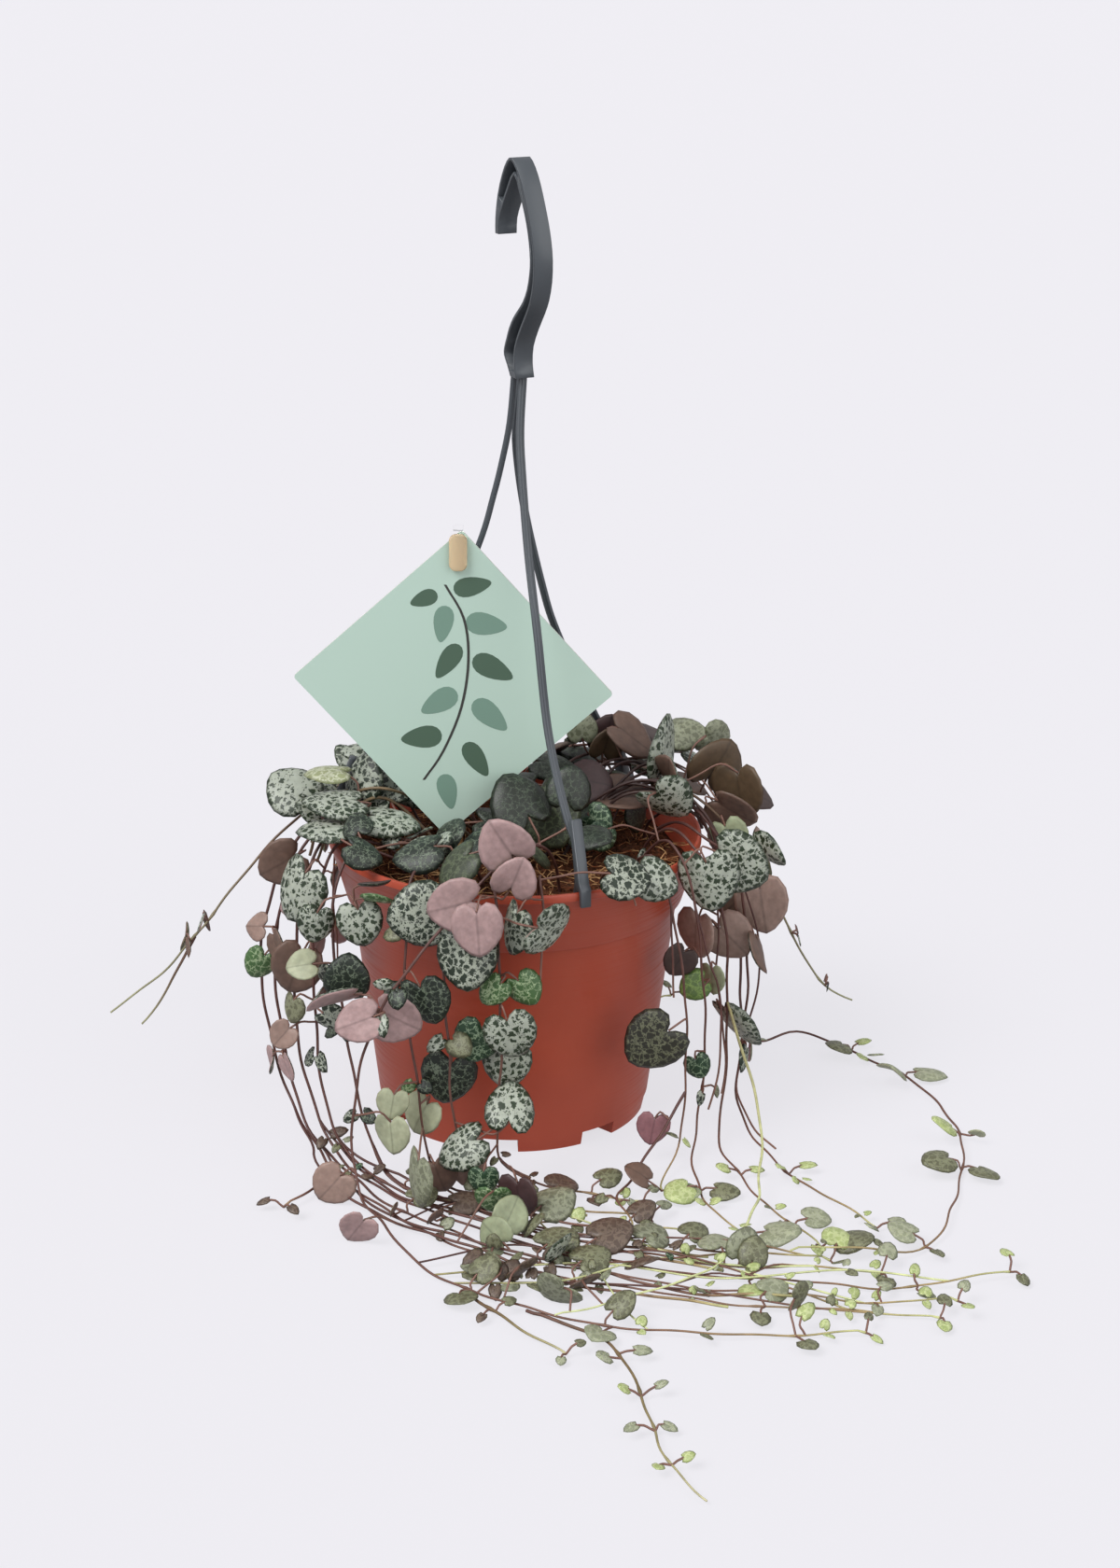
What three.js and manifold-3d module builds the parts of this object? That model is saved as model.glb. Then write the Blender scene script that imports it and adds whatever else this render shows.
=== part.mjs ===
// String of hearts in a moulded nursery pot with a clip-on hanger and a care card.
// Units are millimetres, +Z is up, and the origin is on the pot's axis at the surface it stands on.
// The front, where most stems hang, faces -Y. Angles round the pot start there and grow towards +X.

import * as THREE from "three";
import { mergeVertices } from "three/addons/utils/BufferGeometryUtils.js";
import Module from "manifold-3d";

const wasm = await Module();
wasm.setup();

// ---------------------------------------------------------------- driving dimensions

const RIM_RADIUS = 60;            // a 12 cm pot, measured over its rim
const POT_HEIGHT = 94;
const BASE_RADIUS = 44.3;
const WALL = 1.5;
const COLLAR_DEPTH = 21;          // the wider band under the rim
const COLLAR_STEP = 1.8;          // how far the band stands out of the body
const FOOT_HEIGHT = 4.6;
const FOOT_COUNT = 8;
const FOOT_WIDTH_DEG = 28;
const FOOT_PHASE_DEG = 16;        // the front foot stands a little to the right
const SOIL_TOP = 84;
const GAP = 0.3;                  // between pieces that touch

const POT_SIDES = 36;
const SOIL_SIDES = 18;

const STEM_RADIUS = 0.65;
const STEM_STEP = 9;              // length of one straight stretch of a stem
const SMALLEST_LEAF = 9;          // the tiny leaves of new growth are left out
const LEAF_CLEARANCE = 0.25;      // a leaf keeps this far from everything it doesn't grow on
const GROUND_CLEARANCE = 0.4;
const LEAF_TRIES = 14;
const LEAF_SWING_DEG = 30;        // a leaf turns up to this far about the light
const LEAF_LIFT_DEG = 24;         // and its tip is up to this far above or below its place
const SWING_PER_TRY_DEG = 6;      // each further try lets it turn and tip further, and shrinks it
const LIFT_PER_TRY_DEG = 5;
const SHRINK_PER_TRY = 0.03;
const MERGE_WITHIN = 0.1;         // faces closer than this to one plane become one

const STRAP_AZIMUTHS = { left: -98, back: 142, front: 20.4 };

const CARD_SIDE = 71;
const CARD_THICKNESS = 0.9;
const CARD_CENTRE = new THREE.Vector3(-19.5, -9, 145);
const CARD_TURN_DEG = 48;         // it hangs by one corner, turned a little past the diagonal

// ---------------------------------------------------------------- materials

function plain(color, roughness, metalness = 0) {
  return new THREE.MeshStandardMaterial({ color, roughness, metalness });
}

const materials = {
  pot: plain(0xa84c36, 0.45),
  soil: plain(0x3d2a20, 0.95),
  hanger: plain(0x55595e, 0.5),
  card: plain(0xb5cfc0, 0.7),
  stick: plain(0xc9a877, 0.75),
  clip: plain(0xd9c9a4, 0.25),
  foliage: plain(0x7f8d7c, 0.55),
};

// ---------------------------------------------------------------- small helpers

const rad = THREE.MathUtils.degToRad;

// A point at an angle round the pot, a distance from its axis and a height.
function around(degrees, radius, z) {
  return new THREE.Vector3(radius * Math.sin(rad(degrees)), -radius * Math.cos(rad(degrees)), z);
}

// A closed three.js geometry as a solid that can be cut and joined.
function solidOf(geometry) {
  const bare = geometry.index ? geometry.toNonIndexed() : geometry.clone();
  bare.deleteAttribute("normal");
  bare.deleteAttribute("uv");
  const merged = mergeVertices(bare, 1e-4);
  return new wasm.Manifold(new wasm.Mesh({
    numProp: 3,
    vertProperties: new Float32Array(merged.attributes.position.array),
    triVerts: new Uint32Array(merged.index.array),
  }));
}

function geometryOf(solid) {
  const mesh = solid.getMesh();
  const geometry = new THREE.BufferGeometry();
  geometry.setAttribute("position", new THREE.BufferAttribute(new Float32Array(mesh.vertProperties), 3));
  geometry.setIndex(new THREE.BufferAttribute(new Uint32Array(mesh.triVerts), 1));
  geometry.computeVertexNormals();
  return geometry;
}

function piece(name, solid, material) {
  const mesh = new THREE.Mesh(geometryOf(solid), material);
  mesh.name = name;
  return mesh;
}

// A profile of [radius, height] pairs, running up the outside, turned round the pot's axis.
function turned(profile, sides) {
  const lathe = new THREE.LatheGeometry(profile.map(([r, z]) => new THREE.Vector2(r, z)), sides);
  lathe.rotateX(Math.PI / 2);
  return solidOf(lathe);
}

// A bar of a closed section swept along a curve.
function swept(section, curve, steps) {
  return solidOf(new THREE.ExtrudeGeometry(section, { steps, extrudePath: curve, curveSegments: 1 }));
}

function polygon(points) {
  return new THREE.Shape(points.map(([x, y]) => new THREE.Vector2(x, y)));
}

function regular(sides, radius) {
  const corners = [];
  for (let i = 0; i < sides; i += 1) {
    const a = (2 * Math.PI * i) / sides;
    corners.push([radius * Math.cos(a), radius * Math.sin(a)]);
  }
  return polygon(corners);
}

function smooth(points) {
  return new THREE.CatmullRomCurve3(points, false, "catmullrom", 0.5);
}

// Random numbers from 0 to 1, the same on every run for one seed.
function seededDraw(seed) {
  let state = (seed * 7919 + 104729) % 2147483647;
  const next = () => {
    state = (state * 16807) % 2147483647;
    return state / 2147483647;
  };
  next();
  next();
  return next;
}

// ---------------------------------------------------------------- pot and soil

const bodyTop = POT_HEIGHT - COLLAR_DEPTH;
const bodyTopRadius = 52.6;

function makePot() {
  const inner = [
    [RIM_RADIUS - WALL, POT_HEIGHT],
    [bodyTopRadius + COLLAR_STEP - WALL, bodyTop + 2],
    [bodyTopRadius - WALL, bodyTop - 2],
    [BASE_RADIUS - WALL - 0.4, FOOT_HEIGHT + WALL],
    [0, FOOT_HEIGHT + WALL],
  ];
  const centrePadRadius = 9;
  const outer = [
    [0, 0],
    [centrePadRadius, 0],
    [centrePadRadius, FOOT_HEIGHT],
    [BASE_RADIUS - 8, FOOT_HEIGHT],
    [BASE_RADIUS - 7, 0],
    [BASE_RADIUS - 1, 0],
    [BASE_RADIUS, FOOT_HEIGHT],
    [bodyTopRadius, bodyTop],
    [bodyTopRadius + COLLAR_STEP, bodyTop + 0.6],
    [RIM_RADIUS - 0.4, POT_HEIGHT - 2.4],
    [RIM_RADIUS, POT_HEIGHT],
  ];
  let pot = turned([...outer, ...inner], POT_SIDES);
  const pitch = 360 / FOOT_COUNT;
  const notchHalf = rad(pitch - FOOT_WIDTH_DEG) / 2;
  for (let i = 0; i < FOOT_COUNT; i += 1) {
    const middle = rad(FOOT_PHASE_DEG + pitch * (i + 0.5));
    const reach = BASE_RADIUS + 4;
    const near = BASE_RADIUS - 12;
    const wedge = polygon([
      [near * Math.sin(middle - notchHalf), -near * Math.cos(middle - notchHalf)],
      [reach * Math.sin(middle - notchHalf), -reach * Math.cos(middle - notchHalf)],
      [reach * Math.sin(middle + notchHalf), -reach * Math.cos(middle + notchHalf)],
      [near * Math.sin(middle + notchHalf), -near * Math.cos(middle + notchHalf)],
    ]);
    const cutter = new THREE.ExtrudeGeometry(wedge, { depth: FOOT_HEIGHT + 1, bevelEnabled: false });
    cutter.translate(0, 0, -1);
    pot = pot.subtract(solidOf(cutter));
  }
  const drainCount = 4;
  for (let i = 0; i < drainCount; i += 1) {
    const drain = new THREE.CylinderGeometry(3.5, 3.5, 12, 6);
    drain.rotateX(Math.PI / 2);
    const at = around((360 / drainCount) * i, 24, FOOT_HEIGHT);
    drain.translate(at.x, at.y, at.z);
    pot = pot.subtract(solidOf(drain));
  }
  return pot;
}

function soilHeight(x, y) {
  return SOIL_TOP + 0.9 * Math.sin(0.19 * x + 0.6) + 0.8 * Math.cos(0.23 * y - 0.02 * x);
}

function makeSoil(roots) {
  const clear = WALL + GAP;
  const topRadius = bodyTopRadius + COLLAR_STEP - clear + (SOIL_TOP - bodyTop - 2) * 0.27;
  const profile = [
    [0, FOOT_HEIGHT + clear],
    [BASE_RADIUS - clear - 2, FOOT_HEIGHT + clear],
    [BASE_RADIUS - clear - 0.4, FOOT_HEIGHT + clear + 2],
    [bodyTopRadius - clear - 0.2, bodyTop - 3],
    [bodyTopRadius + COLLAR_STEP - clear - 0.5, bodyTop + 2.4],
    [topRadius, SOIL_TOP],
    [topRadius * 0.7, SOIL_TOP],
    [topRadius * 0.38, SOIL_TOP],
    [0, SOIL_TOP],
  ];
  const lathe = new THREE.LatheGeometry(profile.map(([r, z]) => new THREE.Vector2(r, z)), SOIL_SIDES);
  lathe.rotateX(Math.PI / 2);
  const place = lathe.attributes.position;
  for (let i = 0; i < place.count; i += 1) {
    if (place.getZ(i) > SOIL_TOP - 0.01 && Math.hypot(place.getX(i), place.getY(i)) < topRadius - 1) {
      place.setZ(i, soilHeight(place.getX(i), place.getY(i)));
    }
  }
  let soil = solidOf(lathe);
  for (const [x, y, radius] of roots) {
    const corner = 2 * radius + 1.8;    // a three-cornered hole, clear of a round stem of this radius
    const hole = new THREE.CylinderGeometry(corner, corner, 20, 3);
    hole.rotateX(Math.PI / 2);
    hole.translate(x, y, SOIL_TOP + 3);
    soil = soil.subtract(solidOf(hole));
  }
  return soil;
}

// ---------------------------------------------------------------- hanger

const HOOK_TURN_DEG = -65;        // the hook's plane is turned this far from the front
// The two edges of the hook in its own plane, [sideways, height], from the foot round to the tip.
const HOOK_OUTER_EDGE = [
  [5.6, 241.6], [4.4, 245.8], [5, 251], [8.4, 256.6], [12.6, 262], [15.6, 266.6], [17.6, 272.6],
  [17.9, 279], [16.8, 284.5], [14.8, 289.7], [12.1, 295], [9, 300.4], [5.4, 304.8], [1.4, 307.4],
  [-2, 306], [-5.4, 301.6], [-8.5, 295], [-10, 288], [-10, 283.3],
];
const HOOK_INNER_EDGE = [
  [1.2, 241.6], [-1, 244.6], [-3.4, 247.4], [-3.2, 249.8], [-1.6, 253], [0.2, 256.3], [3, 259.8],
  [6.2, 262.6], [9.8, 265.8], [12.7, 270], [14.3, 274.8], [14.7, 279], [13.8, 284.2], [12, 289.3],
  [9.4, 294.2], [6.4, 298.9], [3.2, 302.6], [-0.6, 298.2], [-4.4, 292.8], [-7.2, 288], [-7.6, 283.3],
];

// The same line moved to its left by a distance.
function beside(line, distance) {
  return line.map(([u, z], i) => {
    const [fromU, fromZ] = line[Math.max(i - 1, 0)];
    const [toU, toZ] = line[Math.min(i + 1, line.length - 1)];
    const length = Math.hypot(toU - fromU, toZ - fromZ);
    return [u - ((toZ - fromZ) / length) * distance, z + ((toU - fromU) / length) * distance];
  });
}

// An upright plate of a [sideways, height] outline, from one depth to another.
function plate(outline, near, far) {
  const slab = new THREE.ExtrudeGeometry(polygon(outline), { depth: far - near, bevelEnabled: false });
  slab.rotateX(Math.PI / 2);
  slab.translate(0, far, 0);
  return solidOf(slab);
}

// The hook is a channel on its side: a web in the hook's plane, with a flange along each edge.
function makeHook() {
  const half = 3.1;
  const wall = 0.9;
  const outline = [...HOOK_OUTER_EDGE, ...[...HOOK_INNER_EDGE].reverse()];
  const closedEnd = 2;
  const hollow = [
    ...beside(HOOK_OUTER_EDGE, wall).slice(1, -closedEnd),
    ...beside(HOOK_INNER_EDGE, -wall).slice(1, -closedEnd).reverse(),
  ];
  return plate(outline, -half, half)
    .subtract(plate(hollow, -half - 1, half - wall))
    .rotate([0, 0, HOOK_TURN_DEG]);
}

const STRAP_ROUTES = {            // from under the hook down to the rim clip
  left: [[-1.1, 0.5, 240.6], [-2.3, 1.5, 226.6], [-4.4, 2.6, 215], [-7.2, 3.4, 203], [-12.1, 4.4, 186],
    [-26, 5.5, 152], [-44, 7, 122]],
  back: [[1.2, 3.8, 240.6], [-0.2, 4.3, 226.6], [-0.2, 5, 217], [2.4, 8, 197.5], [8.2, 16, 170.5],
    [13.2, 23, 152.9], [26, 36, 121]],
  front: [[1.6, -2.9, 240.6], [0.9, -5.2, 226], [1.4, -8, 214.3], [3.5, -16.8, 190.7], [6.5, -28.5, 167.5],
    [10, -34, 138], [15.2, -45.5, 117]],
};

function makeStrap(side) {
  const azimuth = STRAP_AZIMUTHS[side];
  const strap = polygon([[-0.8, -1.3], [0.8, -1.3], [0.8, 1.3], [-0.8, 1.3]]);
  const clipTop = around(azimuth, 53.4, 108);
  const points = STRAP_ROUTES[side].map(([x, y, z]) => new THREE.Vector3(x, y, z));
  const ribbon = swept(strap, smooth([...points, clipTop]), 12);
  // the clip is a hook over the rim, in the plane through the pot's axis
  const clip = [
    [50.4, 119], [52.2, 119.6], [60.6, 97.2], [62.6, 95.4], [62.6, 88], [60.9, 88], [60.4, 94.4],
    [57.9, 94.4], [56.3, 90], [54.9, 90.6], [56.6, 96.6], [55.2, 102.6],
  ];
  const width = 4.2;
  return ribbon.add(plate(clip, -width / 2, width / 2).rotate([0, 0, azimuth - 90]));
}

// ---------------------------------------------------------------- care card

function makeCard() {
  const card = new THREE.BoxGeometry(CARD_SIDE, CARD_THICKNESS, CARD_SIDE);
  card.rotateY(rad(CARD_TURN_DEG));
  card.translate(CARD_CENTRE.x, CARD_CENTRE.y, CARD_CENTRE.z);
  return solidOf(card);
}

const STICK = { x: -18, y: -6.4, radius: 1.4, top: 186 };

function makeStick() {
  const length = STICK.top - (SOIL_TOP - 6);
  const stick = new THREE.CylinderGeometry(STICK.radius, STICK.radius, length, 10);
  stick.rotateX(Math.PI / 2);
  stick.translate(STICK.x, STICK.y, STICK.top - length / 2);
  return solidOf(stick);
}

// A small sprung clip that straddles the card's upper corner and cups the end of the stick.
function makeClip() {
  const outline = polygon([
    [-11.4, 182], [-10, 181.4], [-10, 195.5], [-4, 195.5], [-4, 187.5], [-2.8, 187.5],
    [-2.8, 195.8], [-4, 196.8], [-10, 196.8], [-11.4, 195.8],
  ]);
  const width = 5.8;
  const clip = new THREE.ExtrudeGeometry(outline, { depth: width, bevelEnabled: false });
  clip.rotateX(Math.PI / 2);
  clip.rotateZ(Math.PI / 2);
  clip.translate(STICK.x - width / 2, 0, 0);
  return solidOf(clip);
}

// ---------------------------------------------------------------- leafy stems

// Each stem has a root in the soil and a route of points [x, y, z, leaf length, face].
// A point with a leaf length carries a pair of leaves. Face -1 turns their undersides outwards.
// A branch has no root: it starts inside the stem that it grows on.
const VINES = [
  { node: "vine_left_tip", root: [-36, 26], route: [
    [-45, 23, 98, 14], [-57.5, 20.5, 99, 13], [-72, 10, 92], [-86, 0, 80], [-97, -6, 66, 8],
    [-103, -8, 59, 9, -1], [-114, -9, 47], [-131, -10, 33]] },
  { node: "vine_left_sweep_1", root: [-38, 7], route: [
    [-46, 4, 98, 17], [-61.5, -2, 99, 15], [-74, -9, 86], [-80, -14, 66], [-81, -16, 46],
    [-78, -19, 26], [-71, -28, 9], [-63, -44, 2], [-56, -60, 1.2], [-44, -80, 1.2],
    [-28, -98, 1.2], [-8, -116, 1.2, 9], [16, -128, 1.2, 10], [42, -137, 1.2], [70, -144, 1.2, 8],
    [98, -147, 1.2], [122, -150, 1.5, 6]] },
  { node: "vine_left_sweep_2", root: [-40, -5], route: [
    [-48, -6, 100, 18], [-60.6, -10.7, 99], [-70, -17, 88], [-75, -22, 68, 11, -1], [-76, -25, 48],
    [-73, -29, 28, 8, -1], [-67, -37, 10], [-59, -50, 2], [-48, -68, 1.2], [-34, -86, 1.2, 9],
    [-16, -103, 1.2], [6, -117, 1.2, 12], [30, -127, 1.2], [54, -133, 1.2, 9], [80, -138, 1.2],
    [104, -141, 1.2, 7], [128, -143, 3, 5]] },
  { node: "vine_left_sweep_3", root: [-36, -14], route: [
    [-46, -16, 99], [-58.5, -19, 98.5], [-66, -26, 84], [-69, -31, 64], [-69, -34, 44],
    [-66, -38, 24], [-60, -46, 8], [-52, -58, 1.5], [-38, -75, 1.2], [-22, -90, 1.2, 11],
    [-2, -104, 1.2], [20, -115, 1.2, 12], [44, -123, 1.2], [68, -128, 1.2, 10], [92, -131, 1.2],
    [116, -133, 1.2, 6], [146, -124, 2, 5]] },
  { node: "vine_left_sweep_4", root: [-33, -22], route: [
    [-43, -25, 98], [-55.3, -27, 98.5], [-62, -34, 82, 10, -1], [-63, -39, 62], [-62, -43, 42],
    [-59, -48, 20], [-52, -56, 4], [-40, -68, 1.2, 10], [-24, -82, 1.2], [-6, -95, 1.2, 13],
    [14, -106, 1.2], [36, -114, 1.2, 11], [60, -119, 1.2, 12], [84, -122, 1.2], [108, -124, 1.2, 7]] },
  { node: "vine_left_sweep_5", root: [-28, -28], route: [
    [-40, -33, 97], [-51, -34.4, 99], [-56, -42, 84], [-55, -48, 64], [-52, -53, 44],
    [-48, -57, 26], [-43, -61, 7], [-34, -71, 1.2, 10], [-16, -84, 1.2, 12], [4, -95, 1.2, 13],
    [26, -103, 1.2], [50, -109, 1.2, 10], [74, -113, 1.2], [94, -116, 1.2, 8]] },
  { node: "vine_front_over", root: [14, -32], route: [
    [10, -46, 104], [0, -58, 108], [-14, -67, 97], [-26, -75, 84], [-38, -78, 68],
    [-45, -77, 52], [-48, -76, 34], [-49, -79, 16], [-46, -88, 6], [-38, -103, 4.5],
    [-28, -120, 1.4], [-14, -134, 1.2, 8], [4, -146, 1.2], [26, -155, 1.2, 9], [54, -160, 1.2],
    [80, -160, 1.2, 8], [100, -158, 1.2, 5]] },
  { node: "vine_front_1", root: [-18, -30], route: [
    [-24, -44, 98, 14], [-30.8, -53.3, 99], [-33, -61, 86], [-33, -64, 66], [-31, -66, 46],
    [-29, -67, 28], [-26, -69, 11], [-18, -76, 1.6], [-4, -85, 1.2, 10], [14, -92, 1.2],
    [34, -97, 1.2, 9], [54, -101, 1.2]] },
  { node: "vine_front_2", root: [-10, -32], route: [
    [-17, -46, 100], [-21, -57.8, 99], [-22, -64, 84], [-21, -66, 66], [-20, -67.5, 46],
    [-19, -68.5, 28], [-14, -70, 11], [-4, -75, 1.8], [10, -81, 1.2, 9], [26, -86, 1.2],
    [42, -91, 1.2, 7]] },
  { node: "vine_front_3", root: [-2, -33], route: [
    [-5, -48, 97], [-6.4, -61.2, 99], [-5, -66, 84], [-4, -67.5, 66], [-4, -68.5, 46],
    [-5, -69, 26], [-3, -69, 9], [8, -71, 1.4], [24, -75, 1.2, 8], [40, -79, 1.2, 7]] },
  { node: "vine_front_4", root: [7, -38], route: [
    [8, -50, 97], [7.5, -61, 98.5], [9, -66, 86], [8, -67, 70]] },
  { node: "vine_right_1", root: [27, -30], route: [
    [30, -42, 96], [34.4, -51, 98.5], [37, -56.5, 90]] },
  { node: "vine_right_2", root: [36, -24], route: [
    [40, -34, 97], [44, -43, 99], [49, -49, 84], [52, -50, 64], [54, -49, 44],
    [54, -49, 24], [52, -52, 8], [48, -62, 1.6], [46, -72, 1.2, 8, -1]] },
  { node: "vine_right_3", root: [40, -13], route: [
    [46, -24, 99], [50.5, -35.5, 99.5], [56, -42, 84], [59, -42, 62], [60, -41, 42],
    [60, -41, 22, 6], [58, -44, 6], [56, -56, 1.4], [58, -72, 1.2, 9], [62, -88, 1.2],
    [70, -103, 1.2, 12]] },
  { node: "vine_right_4", root: [42, -2], route: [
    [48, -14, 99], [55.3, -27, 99.5], [63, -31, 86], [67, -30, 66], [68, -29, 46],
    [68, -28, 26], [67, -30, 10], [66, -42, 1.6], [70, -60, 1.2, 6], [76, -78, 1.2], [84, -94, 1.2, 9],
    [92, -108, 1.2, 10]] },
  { node: "vine_right_5", root: [44, 9], route: [
    [51, -4, 98], [59.1, -17, 98], [70, -19, 88], [74, -18, 68, 13, -1], [75, -16, 46],
    [74, -16, 26, 8], [73, -20, 8], [76, -36, 1.3], [86, -58, 1.2, 7], [98, -80, 1.2], [110, -96, 1.2, 6]] },
  { node: "vine_right_loop", root: [43, 18], route: [
    [53, 5, 100], [61.2, -6.4, 99.5], [70, -6, 84], [74, -2, 62], [75, 8, 38], [77, 22, 14],
    [84, 36, 2], [98, 44, 1.2], [114, 33, 1.2, 8], [130, 11, 1.2, 10], [141, -14, 1.2],
    [144, -34, 1.2, 9], [141, -56, 1.2, 11], [135, -84, 1.2], [123, -108, 1.2, 8], [104, -116, 4.4],
    [82, -116, 4.4]] },
  { node: "vine_right_tip", root: [40, 27], route: [
    [52, 17, 101], [61.5, 5, 100], [74, 3, 88, 16, -1], [82, 1, 74], [90, 0, 58, 5], [100, -1, 42, 4],
    [111, -2, 35]] },
  { node: "vine_wreath_1", root: [8, 36], route: [
    [16, 40, 97, 14], [28, 36, 104, 16], [40, 33, 107, 18, -1], [50, 26, 108, 15], [59, 17, 106],
    [66, 8, 100]] },
  { node: "vine_wreath_2", root: [-6, 40], route: [
    [3, 50, 98, 15], [18, 54, 103, 16, -1], [35, 52, 104, 14], [50, 42, 103, 15], [62, 29, 98, 18, -1],
    [71, 19, 84, 17, -1]] },
  { node: "vine_back_1", root: [4, 26], route: [
    [6, 42, 92], [7, 60, 98.5], [8, 67, 84, 15], [9, 69, 62, 14], [8, 69, 40, 12], [8, 70, 18, 9],
    [10, 76, 2.4], [18, 90, 1.2, 8], [34, 102, 1.2, 7], [50, 106, 1.2, 5]] },
  { node: "vine_back_2", root: [22, 26], route: [
    [26, 40, 93], [31, 52.5, 97.6], [34, 60, 84, 15], [36, 61, 62, 13], [37, 60, 42, 13], [37, 61, 22],
    [38, 63, 6, 9], [44, 70, 1.3], [56, 78, 1.2, 6]] },
  { node: "vine_back_3", root: [-14, 28], route: [
    [-15, 44, 97, 16], [-16, 59.4, 99], [-17, 66, 84, 14], [-18, 68, 62, 13], [-18, 69, 40, 12],
    [-18, 69, 18, 9], [-20, 74, 2.4], [-30, 86, 1.2, 7], [-46, 92, 1.2, 6]] },
  { node: "vine_back_4", root: [-26, 34], route: [
    [-31, 42, 98, 15], [-36, 50, 99], [-41, 56, 84, 14], [-43, 58, 62, 14], [-43, 59, 40, 12],
    [-42, 59, 20, 10]] },
  { node: "vine_back_5", root: [-30, 14], route: [
    [-41, 24, 104, 16], [-51, 34, 100, 15], [-58, 39, 84, 15], [-61, 41, 62, 13], [-61, 41, 42, 12],
    [-60, 40, 22, 9]] },
  { node: "vine_wreath_3", root: [26, 16], route: [
    [32, 22, 98, 16], [42, 20, 103, 17, -1], [52, 10, 105, 17]] },
  { node: "vine_crown_rim", root: [-29, -1], route: [
    [-36, -7, 98, 16], [-46, -10, 103], [-54, -12, 103]] },
  { node: "vine_crown_card", root: [-21, -19], route: [
    [-27, -27, 98, 17], [-37, -33, 101], [-45, -36, 100, 10]] },
  { node: "vine_crown_left", root: [-24, -8], route: [
    [-27, -18, 95, 14], [-34, -24, 99, 12], [-42, -19, 100]] },
  { node: "vine_crown_front", root: [4, -16], route: [
    [6, -24, 97, 19], [16, -24, 103, 12]] },
  { node: "vine_crown_right", root: [30, 6], route: [
    [35, 10, 99, 16], [44, 15, 102]] },
  { node: "vine_crown_back", root: [-12, 12], route: [
    [-18, 18, 98, 17], [-28, 22, 106, 16]] },
  { node: "vine_crown_middle", root: [14, 8], route: [
    [14, 14, 97, 17], [22, 22, 104, 16]] },
];

// Branches join the node of the stem that they start in.
const BRANCHES = [
  { node: "vine_left_tip", route: [[-103, -8, 59], [-112, -9, 42], [-121, -10, 29]] },
  { node: "vine_front_over", route: [
    [4, -146, 1.2], [20, -158, 1.2], [30, -172, 1.2, 8], [35, -190, 1.2, 6], [37, -208, 1.2, 7],
    [41, -226, 1.2, 5], [50, -243, 1.4]] },
  { node: "vine_front_over", route: [
    [-14, -134, 1.2], [-6, -147, 1.2, 6], [4, -160, 1.2], [15, -170, 1.2, 5]] },
  { node: "vine_left_sweep_1", route: [[-56, -60, 1.2], [-62, -73, 1.2], [-70, -84, 1.4, 6]] },
  { node: "vine_right_2", route: [
    [54, -49, 24], [46, -56, 13], [38, -68, 4.4], [32, -84, 3.6, 6], [36, -102, 3.6]] },
  { node: "vine_right_4", route: [
    [68, -29, 46], [74, -38, 28], [78, -54, 12], [76, -76, 5], [71, -98, 4.6], [62, -122, 4.6],
    [46, -138, 4.6], [26, -149, 4.4], [12, -154, 4.4]] },
];

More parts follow.
